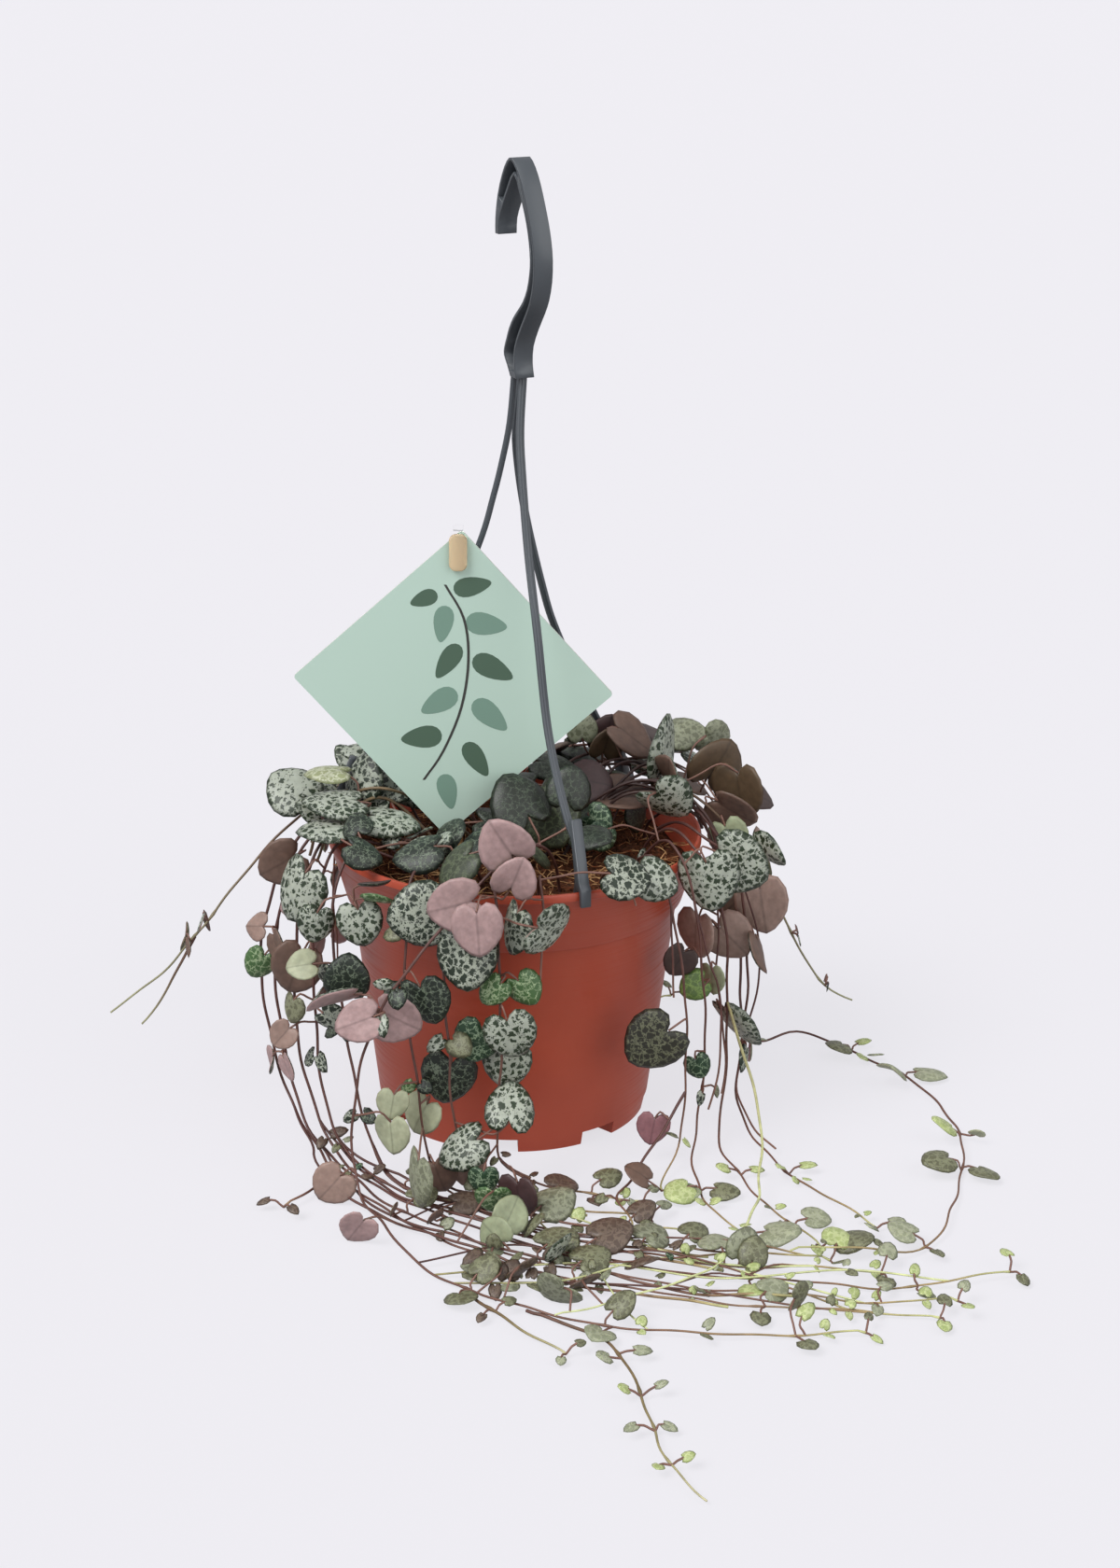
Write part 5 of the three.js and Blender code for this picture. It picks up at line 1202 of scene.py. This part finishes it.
# What grows where, as a tone and its share: the crown, the curtain over the wall, the ground, the
# young tips on the ground, and the shaded hollow of the crown, whose darker colours are painted shade.
ZONE_TONES = {
    "crown": [("silver", 0.4), ("marbled", 0.4), ("dark", 0.15), ("olive", 0.05)],
    "curtain": [("marbled", 0.35), ("silver", 0.25), ("dark", 0.2), ("netted", 0.08), ("olive", 0.12)],
    "ground": [("grey", 0.3), ("olive", 0.3), ("netdark", 0.05), ("brown", 0.35)],
    "tips": [("young", 0.35), ("sage", 0.4), ("olive", 0.25)],
    # In the hollow the leaves are painted darker for shade.
    "hollow": [("shaded", 0.5), ("darkolive", 0.25), ("brown", 0.25)],
}
ZONE_UNDERS = {
    "crown": [("brown", 0.45), ("dark", 0.25), ("pink", 0.15), ("mauve", 0.15)],
    "curtain": [("pink", 0.4), ("mauve", 0.3), ("brown", 0.3)],
    "ground": [("brown", 0.5), ("mauve", 0.25), ("green", 0.25)],
    "tips": [("green", 0.5), ("cream", 0.3), ("brown", 0.2)],
    # The hollow's dark, umber and purple undersides are painted shade.
    "hollow": [("dark", 0.4), ("umber", 0.3), ("purple", 0.3)],
}


def zone(place):
    """The part of the plant that a place is in. The hollow is the shaded middle, behind the strap."""
    if place.z > HIGH:
        deep = place.x > -8 and place.y > -34 and math.hypot(place.x, place.y) < 50
        return "hollow" if deep else "crown"
    if place.z > LOW:
        return "curtain"
    return "tips" if place.x > 50 or place.y < -155 else "ground"


def pick(shares, chance):
    """The entry of a list of shares at a chance from 0 to 1."""
    for name, share in shares:
        chance -= share
        if chance < 0:
            return name
    return shares[-1][0]


def heart_corners(half):
    """A heart's edge as (angle, reach), from the tip round to the tip again, from one half of it."""
    return half + [(360 - angle, reach) for angle, reach in reversed(half[1:-1])]


def make_blade(name, blade, edge, rings):
    """A thick leaf blade, 1 mm long, on the plane z = 0, with its stalk's end at the origin."""
    width, droop, fold, curl = blade
    corners, places, edges, faces, under = [], [], [], [], []

    def corner(x, y, ring, side):
        bend = -droop * y * y + fold * abs(y) - curl * max(x - BLADE_MIDDLE, 0) ** 2
        half = BLADE_HALF * math.sqrt(max(1 - ring ** 4, 0)) + RIM_HALF
        corners.append((x, y * width, bend + side * half * (ring < 1)))
        places.append((x, y, 0))
        edges.append(ring)
        return len(corners) - 1

    def loop(ring, side):
        return [corner(BLADE_MIDDLE + reach * ring * math.cos(math.radians(angle)),
                       reach * ring * math.sin(math.radians(angle)), ring, side)
                for angle, reach in edge]

    rim = loop(1, 1)
    for lower, side in enumerate((1, -1)):
        middle = corner(BLADE_MIDDLE, 0, 0, side)
        loops = [loop(ring, side) for ring in rings] + [rim]
        for k in range(len(edge)):
            after = (k + 1) % len(edge)
            found = [(middle, loops[0][k], loops[0][after])]
            found += [(inner[k], outer[k], outer[after], inner[after])
                      for inner, outer in zip(loops, loops[1:])]
            faces += [face[::-1] for face in found] if lower else found
            under += [lower] * len(found)
    mesh = bpy.data.meshes.new(name)
    mesh.from_pydata([Vector(c) * MM for c in corners], [], faces)
    mesh.polygons.foreach_set("use_smooth", [True] * len(faces))
    carry(mesh, "leaf_place", "FLOAT_VECTOR", places)
    carry(mesh, "leaf_edge", "FLOAT", edges)
    carry(mesh, "underside", "FLOAT", under, "FACE")
    as_object(name, mesh, shapes)


shapes = bpy.data.collections.new("blade shapes")
for number, blade in enumerate(BLADES):
    make_blade(f"blade_{number}", blade, heart_corners(HEART_EDGE), BLADE_RINGS)
for number, blade in enumerate(SMALL_BLADES):
    make_blade(f"blade_small_{number}", blade, heart_corners(SMALL_EDGE), SMALL_BLADE_RINGS)

# ---------------------------------------------------------------- growing a vine

# Radii in millimetres: a stem where it leaves the compost and at its end, a leaf's stalk, a twin stem
# and an arching stem of the crown.
STEM_THICK, TIP_THICK, STALK_THICK, TWIN_THICK, CROWN_THICK = 0.52, 0.3, 0.34, 0.42, 0.5
STEM_SIDES = 6
STEM_STEP = 2.5               # mm from one point of a stem's line to the next
JOINT_SWELL = 1.5             # how much thicker a stem is at a joint
# How much of its CAD length a small leaf keeps, on a stem from the compost and on a branch.
SMALL_LEAF_SHARE, YOUNG_LEAF_SHARE = 0.8, 0.66
# A stem's colour by the share of its length: woody where it is old, and green where it is young.
HANGING_STEM = [(0, "#52332F"), (0.6, "#64423B"), (1, "#8F6A5B")]
LYING_STEM = [(0, "#52332F"), (0.5, "#66443C"), (0.82, "#7D5A4A"), (0.94, "#A89468"), (1, "#C6CC8E")]
BRANCH_STEM = [(0, "#66443C"), (0.45, "#7C6A48"), (0.8, "#A39A70"), (1, "#CFC9A0")]
YOUNG_STEM = [(0, "#A39A6C"), (0.4, "#CFD49A"), (1, "#D8DFA4")]
TIP_STEM = [(0, "#52332F"), (0.45, "#75604C"), (1, "#9A9A76")]
CROWN_DARK = [(0, "#2E1D1A"), (1, "#4C332E")]
CROWN_TAN = [(0, "#4E3C2E"), (0.5, "#7E6C50"), (1, "#6E5A46")]
HANG_WAVER, GROUND_WAVER = 0.5, 0.9   # mm to each side
LYING_LIFT = 0.7                      # mm that a lying stem rises and falls
TWINNED = ("vine_left_sweep", "vine_front", "vine_right")     # groups whose numbered stems have a twin
# Where twins leave the ones beside them, and the shares of the others' length where they end, for the
# twins that lie on the ground and for those that hang.
LYING_TWIN, HANGING_TWIN = (LOW, (0.75, 0.92)), (HIGH - 4, (0.5, 0.85))
# How likely a new pair of leaves is at a joint: near the end of a lying stem, on the rest of it, in the
# thick growth left of the front, and elsewhere over the wall.
YOUNG_CHANCE, LYING_CHANCE, THICK_CHANCE, HANGING_CHANCE = 0.5, 0.15, 0.35, 0.06
YOUNG_FROM = 0.8                      # a stem is young past this share of its length
NEW_LEAF_LENGTHS, THICK_EXTRA = (3.4, 7), 2.5
JOINT_GAPS = (4, 9)                   # points of a stem's line from one place for a pair to the next
CROWN_STEM_COUNT, RUNNER_COUNT = 18, 10
CROWN_RIGHT, CROWN_LEFT = (75, 150), (-115, -45)      # azimuths where the crown's stems go over
# Seeds of the random draws. Those of a stem or a twin have its number added.
WAVER_SEED, NEW_LEAF_SEED, TWIN_SEED, STEM_SEED = 400, 900, 2000, 7000
PLACED_SEED, RUNNER_SEED, CROWN_SEED = 12, 58, 77


def growth_tree():
    """Node tree: round stems along a net of edges, and a blade on each place of another object."""
    tree, given = geometry_tree("stems and leaves", "Grown", {
        "Edges": "Geometry", "Leaf places": "Object", "Blade shapes": "Collection",
        "Stem sides": "Int", "Stem skin": "Material", "Upper skin": "Material",
        "Lower skin": "Material"})
    kinds = {"thick": "FLOAT", "turn": "FLOAT_VECTOR", "leaf_size": "FLOAT", "shape": "INT",
             "underside": "FLOAT", "is_stem": "FLOAT"}
    stored = {name: add_node(tree, "GeometryNodeInputNamedAttribute", {"Name": name}, data_type=kind)
              for name, kind in kinds.items()}
    # Stems.
    lines = add_node(tree, "GeometryNodeMeshToCurve", {"Mesh": (given, "Edges")})
    ring = add_node(tree, "GeometryNodeCurvePrimitiveCircle", {"Resolution": (given, "Stem sides"),
                                                               "Radius": 1.0})
    tubes = add_node(tree, "GeometryNodeCurveToMesh", {
        "Curve": lines, "Profile Curve": ring, "Scale": stored["thick"], "Fill Caps": True})
    stems = add_node(tree, "GeometryNodeStoreNamedAttribute",
                     {"Geometry": tubes, "Name": "is_stem", "Value": 1.0},
                     data_type="FLOAT", domain="FACE")
    # Leaves.
    places = add_node(tree, "GeometryNodeObjectInfo", {"Object": (given, "Leaf places")})
    blades = add_node(tree, "GeometryNodeCollectionInfo", {
        "Collection": (given, "Blade shapes"), "Separate Children": True, "Reset Children": True})
    spin = add_node(tree, "FunctionNodeEulerToRotation", {0: stored["turn"]})
    leaves = add_node(tree, "GeometryNodeInstanceOnPoints", {
        "Points": (places, "Geometry"), "Instance": blades, "Pick Instance": True,
        "Instance Index": stored["shape"], "Rotation": spin, "Scale": stored["leaf_size"]})
    both = add_node(tree, "GeometryNodeJoinGeometry", {0: stems})
    fill(tree, both, {0: leaves})
    real = add_node(tree, "GeometryNodeRealizeInstances", {"Geometry": both})
    shown = add_node(tree, "GeometryNodeSetShadeSmooth", {0: real})
    dressed = add_node(tree, "GeometryNodeSetMaterial", {"Geometry": shown,
                                                         "Material": (given, "Upper skin")})
    for mark, skin in (("underside", "Lower skin"), ("is_stem", "Stem skin")):
        chosen = add_node(tree, "FunctionNodeCompare", {"A": stored[mark], "B": 0.5},
                          operation="GREATER_THAN")
        dressed = add_node(tree, "GeometryNodeSetMaterial", {
            "Geometry": dressed, "Selection": chosen, "Material": (given, skin)})
    add_node(tree, "NodeGroupOutput", {"Grown": dressed})
    return tree


def colour_along(stops, share):
    """A colour between the stops of a list, linear."""
    for (s0, c0), (s1, c1) in zip(stops, stops[1:]):
        if share <= s1:
            t = (share - s0) / (s1 - s0)
            return [a + (b - a) * t for a, b in zip(linear(c0), linear(c1))]
    return list(linear(stops[-1][1]))


def edges_object(strands):
    """Stems as a mesh of edges: each strand is its points, thicknesses and colours."""
    corners, edges, thick, colours = [], [], [], []
    for line, widths, paints in strands:
        first = len(corners)
        corners += [p * MM for p in line]
        thick += [w * MM for w in widths]
        colours += paints
        edges += [(first + i, first + i + 1) for i in range(len(line) - 1)]
    mesh = bpy.data.meshes.new("stem edges")
    mesh.from_pydata(corners, edges, [])
    carry(mesh, "thick", "FLOAT", thick)
    carry(mesh, "stem_colour", "FLOAT_COLOR", colours)
    return as_object("stem edges", mesh)


def places_object(leaves):
    """Leaves as single points that carry how each is turned, sized and coloured."""
    mesh = bpy.data.meshes.new("leaf places")
    mesh.from_pydata([leaf["base"] * MM for leaf in leaves], [], [])
    turns = []
    for leaf in leaves:
        across = leaf["normal"].cross(leaf["tip"])
        turns.append(Matrix((leaf["tip"], across, leaf["normal"])).transposed().to_euler())
    carry(mesh, "turn", "FLOAT_VECTOR", turns)
    for name, key, kind in (("leaf_size", "size", "FLOAT"), ("shape", "shape", "INT"),
                            ("silver", "silver", "FLOAT"), ("leaf_seed", "seed", "FLOAT")):
        carry(mesh, name, kind, [leaf[key] for leaf in leaves])
    for name in ("island_colour", "net_colour", "under_colour"):
        carry(mesh, name, "FLOAT_COLOR", [linear(leaf[name]) for leaf in leaves])
    return as_object("leaf places", mesh)


def dress(pose, rng, look=None):
    """Adds a leaf's blade shape and colours to where it stands. A look settles the side in front."""
    where = zone(pose["base"])
    tone = pick(ZONE_TONES[where], rng.random())
    under = pick(ZONE_UNDERS[where], rng.random())
    if look in TONES:
        tone = look
    if look in UNDERS:
        under = look
    island, net, silver = TONES[tone]
    if pose["size"] < SMALLEST_CAD_LEAF:
        shape = len(BLADES) + rng.randrange(len(SMALL_BLADES))
    else:
        shape = rng.randrange(len(BLADES))
    return {**pose, "shape": shape, "silver": silver * rng.uniform(0.85, 1.15),
            "seed": rng.uniform(0, 900), "island_colour": island, "net_colour": net,
            "under_colour": UNDERS[under]}


def strand(line, thick, stops):
    """A stem of one thickness: its points, thicknesses and colours."""
    return line, [thick] * len(line), [colour_along(stops, i / len(line)) for i in range(len(line))]


def stalk(line, pose):
    """The bent stalk from the nearest place of a stem to a leaf's notch."""
    start = min(line, key=lambda p: (p - pose["base"]).length_squared)
    end = pose["base"] + pose["tip"] * (0.14 * pose["size"])
    bend = pose["base"] - pose["tip"] * (0.12 * pose["size"]) + (start - pose["base"]) * 0.25
    path = curve_points([start, (start + bend) / 2, bend, end], 1.6)
    paint = [colour_along(HANGING_STEM, 0.8)] * len(path)
    return path, [STALK_THICK] * len(path), paint


def sideways(line, i):
    """Which way is sideways at a point of a stem, and how much it lies: 0 where it hangs, 1 on the
    ground."""
    along = line[min(i + 1, len(line) - 1)] - line[max(i - 1, 0)]
    lies = min(max((LOW + 6 - line[i].z) / 12, 0), 1)
    return (along.cross(FRONT) * (1 - lies) + along.cross(UP) * lies).normalized(), lies


def wavered(line, index):
    """A stem's line with a slight waver, more where it lies on the ground."""
    rng = random.Random(WAVER_SEED + index)
    first, second = rng.uniform(0, math.tau), rng.uniform(0, math.tau)
    moved = [p.copy() for p in line]
    for i in range(2, len(line) - 1):
        across, lies = sideways(line, i)
        reach = HANG_WAVER + (GROUND_WAVER - HANG_WAVER) * lies
        moved[i] += across * reach * (0.6 * math.sin(0.3 * i + first) + 0.4 * math.sin(0.7 * i + second))
        moved[i].z += LYING_LIFT * lies * (1 + math.sin(0.3 * i + second))
    return moved


def twin(line, index, below, ends):
    """A thinner stem that leaves another where it comes below a height, and winds along beside it. It
    ends at a share of the other's length that is drawn between two ends."""
    rng = random.Random(TWIN_SEED + index)
    first = next(i for i, p in enumerate(line) if i > 9 and p.z < below)
    part = line[first:int(len(line) * rng.uniform(*ends))]
    side, turn = rng.choice((-1, 1)), rng.uniform(0, math.tau)
    moved = []
    for i, point in enumerate(part):
        across = sideways(part, i)[0] * side
        ease = min(i / 12, 1)
        moved.append(point + across * ease * (2.6 + 2.4 * math.sin(0.13 * i + turn))
                     + UP * ease * (1 + 0.8 * math.sin(0.21 * i + turn)))
    return moved


def new_pair(point, along, light, size, rng):
    """The two ways that a pair of tiny leaves stands at a joint, clear of the ground."""
    across = along.cross(light).normalized()
    for side in (-1, 1):
        tip = (across * side + along * rng.uniform(0.2, 0.9) + light * rng.uniform(-0.1, 0.6))
        tip.normalize()
        normal = light + across * rng.uniform(-0.6, 0.6) + along * rng.uniform(-0.5, 0.5)
        normal = (normal - tip * normal.dot(tip)).normalized()
        base = point + across * (side * 0.9) + light * 0.7
        pose = {"base": base, "tip": tip, "normal": normal, "size": size * rng.uniform(0.8, 1.1)}
        pose["base"].z += max(0, GROUND - lowest(pose))
        yield pose


def new_leaves(line, index, share_kept=1):
    """Tiny pairs of leaves along the young part of a stem, and here and there where it hangs."""
    rng = random.Random(NEW_LEAF_SEED + index)
    leaves = []
    i = rng.randrange(3, 8)
    while i < len(line) - 1:
        point, share = line[i], i / len(line)
        young = share > YOUNG_FROM
        hangs = LOW <= point.z < HIGH
        thick_growth = hangs and point.x < 8 and point.y < -40
        if point.z < LOW:
            chance = YOUNG_CHANCE if young else LYING_CHANCE
        elif thick_growth:
            chance = THICK_CHANCE
        else:
            chance = HANGING_CHANCE if hangs else 0
        if rng.random() < chance * share_kept:
            size = rng.uniform(*NEW_LEAF_LENGTHS) * (1.15 - 0.5 * share)
            size += THICK_EXTRA if thick_growth else 0
            along = (line[i + 1] - line[i - 1]).normalized()
            for pose in new_pair(point, along, light_side(point), size, rng):
                leaves.append(dress(pose, rng, "young" if young and rng.random() < 0.6 else None))
        i += rng.randrange(*JOINT_GAPS)
    return leaves


def stem_colours(node, root, lies):
    """The colours of a stem from its start to its end."""
    if node.endswith("_tip"):
        return TIP_STEM
    if not root and node == "vine_right_4":
        return YOUNG_STEM
    if not root and node == "vine_front_over":
        return BRANCH_STEM
    return LYING_STEM if lies else HANGING_STEM


def grow_stem(index, node, root, route, corners):
    """One stem with the pairs of leaves of its route, its new leaves and its twin."""
    rng = random.Random(STEM_SEED + index)
    points = [Vector((*root, z)) for z in STEM_START] if root else []
    offset = len(points)
    points += [Vector(entry[:3]) for entry in route]
    line = wavered(curve_points(points, STEM_STEP), index)
    lies = line[-1].z < LOW
    strands = [strand(line, STEM_THICK, stem_colours(node, root, lies))]
    widths = strands[0][1]
    for i in range(len(line)):
        widths[i] += (TIP_THICK - STEM_THICK) * i / len(line)
    leaves = new_leaves(line, index, 1 if root else 0.4)
    for k, entry in enumerate(route):
        if len(entry) < 4:
            continue
        leaf = (entry[3], entry[4] if len(entry) > 4 else 1)
        joint = min(range(len(line)), key=lambda i: (line[i] - points[k + offset]).length_squared)
        widths[joint] *= JOINT_SWELL
        for side in (-1, 1):
            pose = find_leaf(points, k + offset, k, index, side, leaf, corners)
            if pose:
                if pose["size"] < SMALLEST_CAD_LEAF:
                    pose["size"] *= SMALL_LEAF_SHARE if root else YOUNG_LEAF_SHARE
                leaves.append(dress(pose, rng))
                strands.append(stalk(line, pose))
    if root and lies and node.startswith(TWINNED) and node[-1].isdigit():
        hangs = "right" in node
        second = twin(line, index, *(HANGING_TWIN if hangs else LYING_TWIN))
        strands.append(strand(second, STALK_THICK, HANGING_STEM) if hangs
                       else strand(second, TWIN_THICK, LYING_STEM))
        leaves += new_leaves(second, 300 + index, 0.5)
    return strands, leaves


def crown_stems():
    """Old stems that arch over the crown among its leaves: two in three dark, on the right, and the
    others tan, on the left."""
    rng = random.Random(CROWN_SEED)
    found = []
    while len(found) < CROWN_STEM_COUNT:
        right = len(found) % 3 > 0
        azimuth = rng.uniform(*(CROWN_RIGHT if right else CROWN_LEFT))
        points = [around(azimuth + rng.uniform(-70, 70), rng.uniform(8, 22), 85),
                  around(azimuth + rng.uniform(-15, 15), rng.uniform(30, 42), rng.uniform(104, 111)),
                  around(azimuth, rng.uniform(57, 61), rng.uniform(99, 104)),
                  around(azimuth, 66, rng.uniform(82, 92))]
        line = curve_points(points, STEM_STEP)
        if not any(abs(p.y - CARD_CENTRE.y) < 2 and -40 < p.x < 0 for p in line):
            found.append(strand(line, CROWN_THICK, CROWN_DARK if right else CROWN_TAN))
    return found


def runners(lines):
    """Thin young stems that cross the others on the ground, and the node that each belongs to."""
    rng = random.Random(RUNNER_SEED)
    found = []
    for _ in range(RUNNER_COUNT):
        (node, first), (_, last) = rng.sample(lines, 2)
        start = first[int(len(first) * rng.uniform(0.5, 0.8))]
        end = last[int(len(last) * rng.uniform(0.8, 0.99))]
        if start.z > LOW or start.x > end.x - 30:
            continue
        points = [start + (end - start) * t + Vector((0, rng.uniform(-9, 9), rng.uniform(1, 3)))
                  for t in (0.3, 0.55, 0.8)]
        points = [start, *[Vector((p.x, p.y, max(p.z, 2))) for p in points], end]
        stops = LYING_STEM if len(found) % 3 else YOUNG_STEM
        found.append((node, strand(curve_points(points, STEM_STEP), TIP_THICK, stops)))
    return found


def grown_parts():
    """All that grows, as the stems and the leaves of each CAD node."""
    parts = {node: ([], []) for node, *_ in VINES}
    found = {node: node_tree(node) for node in parts}
    lying = []
    stems = [*VINES, *((node, None, route) for node, route in BRANCHES)]
    for index, (node, root, route) in enumerate(stems):
        strands, leaves = grow_stem(index, node, root, route, found[node])
        parts[node][0].extend(strands)
        parts[node][1].extend(leaves)
        if root and ("sweep" in node or node in ("vine_front_over", "vine_front_1")):
            lying.append((node, strands[0][0]))
    parts["vine_crown_middle"][0].extend(crown_stems())
    rng = random.Random(PLACED_SEED)
    for entry in PLACED_LEAVES:
        node, pose = find_placed(entry, found)
        if node:
            strands, leaves = parts[node]
            leaves.append(dress(pose, rng, entry[-1]))
            strands.append(stalk([p for line, *_ in strands for p in line if len(line) > 12], pose))
    for number, (node, runner) in enumerate(runners(lying)):
        parts[node][0].append(runner)
        parts[node][1].extend(new_leaves(runner[0], 100 + number))
    return parts


def grow_vines():
    """Every stem with its leaves, each CAD node's as one piece. Returns how many large leaves they have."""
    tree = growth_tree()
    parts = grown_parts()
    for node, (strands, leaves) in parts.items():
        edges, places = edges_object(strands), places_object(leaves)
        vine = through_tree(f"{node}_grown", edges, tree, {
            "Leaf places": places, "Blade shapes": shapes, "Stem sides": STEM_SIDES,
            "Stem skin": STEM_SKIN, "Upper skin": LEAF_UPPER, "Lower skin": LEAF_UNDER})
        bpy.data.objects.remove(edges)
        bpy.data.objects.remove(places)
        belongs(vine, "foliage", node)
    return [sum(leaf["size"] >= SMALLEST_CAD_LEAF - 2 for leaf in leaves) for _, leaves in parts.values()]


# ---------------------------------------------------------------- camera, floor and light

CAMERA_PLACE = Vector((0, -900, 431))
CAMERA_DOWN_DEG = 19.68
CAMERA_ROLL_DEG = 0.62
FOCAL_PX = 3200               # focal length in pixels of a frame 1200 by 1680
FRAME_WIDTH, FRAME_HEIGHT = 1200, 1680
AXIS_PX = 549.1               # where the pot's axis is across the frame
SENSOR = 36
FARTHEST_M = 50
FLOOR_HALF = 9000
# How strongly the paper shines on the plant, and how bright it is to the eye.
PAPER_LIGHT, PAPER_SEEN = 0.35, 0.825
# How bright the room is as a light, and as what a gleam mirrors.
ROOM_LIGHT, ROOM_MIRRORED = 0.39, 0.6
# Lamps, as the place that each shines from, its strength and its spread in degrees.
LAMPS = {"window": ((-900, -700, 1300), 2.35, 35), "fill": ((900, -900, 700), 1.1, 60)}


def place_camera():
    """The camera, aimed down at the pot and turned so that the pot's axis is left of the middle."""
    yaw = math.atan((FRAME_WIDTH / 2 - AXIS_PX) / FOCAL_PX)
    down, roll = math.radians(CAMERA_DOWN_DEG), math.radians(CAMERA_ROLL_DEG)
    ahead = Vector((math.sin(yaw) * math.cos(down), math.cos(yaw) * math.cos(down), -math.sin(down)))
    level = ahead.cross(UP).normalized()
    above = level.cross(ahead)
    right = level * math.cos(roll) + above * math.sin(roll)
    upright = right.cross(ahead)
    data = bpy.data.cameras.new("camera")
    data.sensor_width = SENSOR
    data.lens = FOCAL_PX / FRAME_HEIGHT * SENSOR
    data.clip_end = FARTHEST_M
    camera = as_object("camera", data)
    camera.matrix_world = Matrix((right, upright, -ahead)).transposed().to_4x4()
    camera.location = CAMERA_PLACE * MM
    bpy.context.scene.camera = camera


def parallel_light(name, place, strength, spread_deg):
    """Even light from the direction of a place, as soft as its spread."""
    lamp = bpy.data.lights.new(name, "SUN")
    lamp.energy = strength
    lamp.angle = math.radians(spread_deg)
    as_object(name, lamp).rotation_euler = Vector(place).to_track_quat("Z", "Y").to_euler()


def studio_floor():
    """Back-lit paper: most of its light is its own, so it stays even and only soft shadows show on it."""
    finish, tree, skin = finish_with("matt studio paper, back-lit", "#69676A", 0.9,
                                     Specular_IOR_Level=0.05, Emission_Color=linear("#EEEDF2"))
    path = add_node(tree, "ShaderNodeLightPath")
    seen = add_node(tree, "ShaderNodeMath", {0: (path, "Is Camera Ray"),
                                             1: (path, "Is Transmission Ray")}, operation="MAXIMUM")
    glow = add_node(tree, "ShaderNodeMapRange", {"Value": seen, **span(0, 1, PAPER_LIGHT, PAPER_SEEN)})
    fill(tree, skin, {"Emission Strength": glow})
    corners = [(-FLOOR_HALF, -FLOOR_HALF, 0), (FLOOR_HALF, -FLOOR_HALF, 0),
               (FLOOR_HALF, FLOOR_HALF, 0), (-FLOOR_HALF, FLOOR_HALF, 0)]
    return mesh_object("studio_floor", corners, [(0, 1, 2, 3)], [finish])


def make_studio():
    """The floor, the room and the lamps. What shines mirrors a brighter room than the one that lights
    it, as inside a white light tent."""
    studio_floor()
    world = bpy.data.worlds.new("studio")
    world.use_nodes = True
    tree = world.node_tree
    path = add_node(tree, "ShaderNodeLightPath")
    mirrored = add_node(tree, "ShaderNodeMapRange", {
        "Value": (path, "Is Glossy Ray"), **span(0, 1, ROOM_LIGHT, ROOM_MIRRORED)})
    fill(tree, tree.nodes["Background"], {"Color": linear("#F4F4F8"), "Strength": mirrored})
    bpy.context.scene.world = world
    for name, (place, strength, spread_deg) in LAMPS.items():
        parallel_light(name, place, strength, spread_deg)
    bpy.context.scene.view_settings.view_transform = "Standard"


# ---------------------------------------------------------------- the whole

make_pot()
belongs(make_soil(), "soil", "soil")
strew_compost()
make_hook()
for strap_side in STRAP_ROUTES:
    make_strap(strap_side)
make_card()
make_stick()
make_card_clip()
counts = grow_vines()
print("leaves grown:", sum(counts), counts)
make_studio()
place_camera()
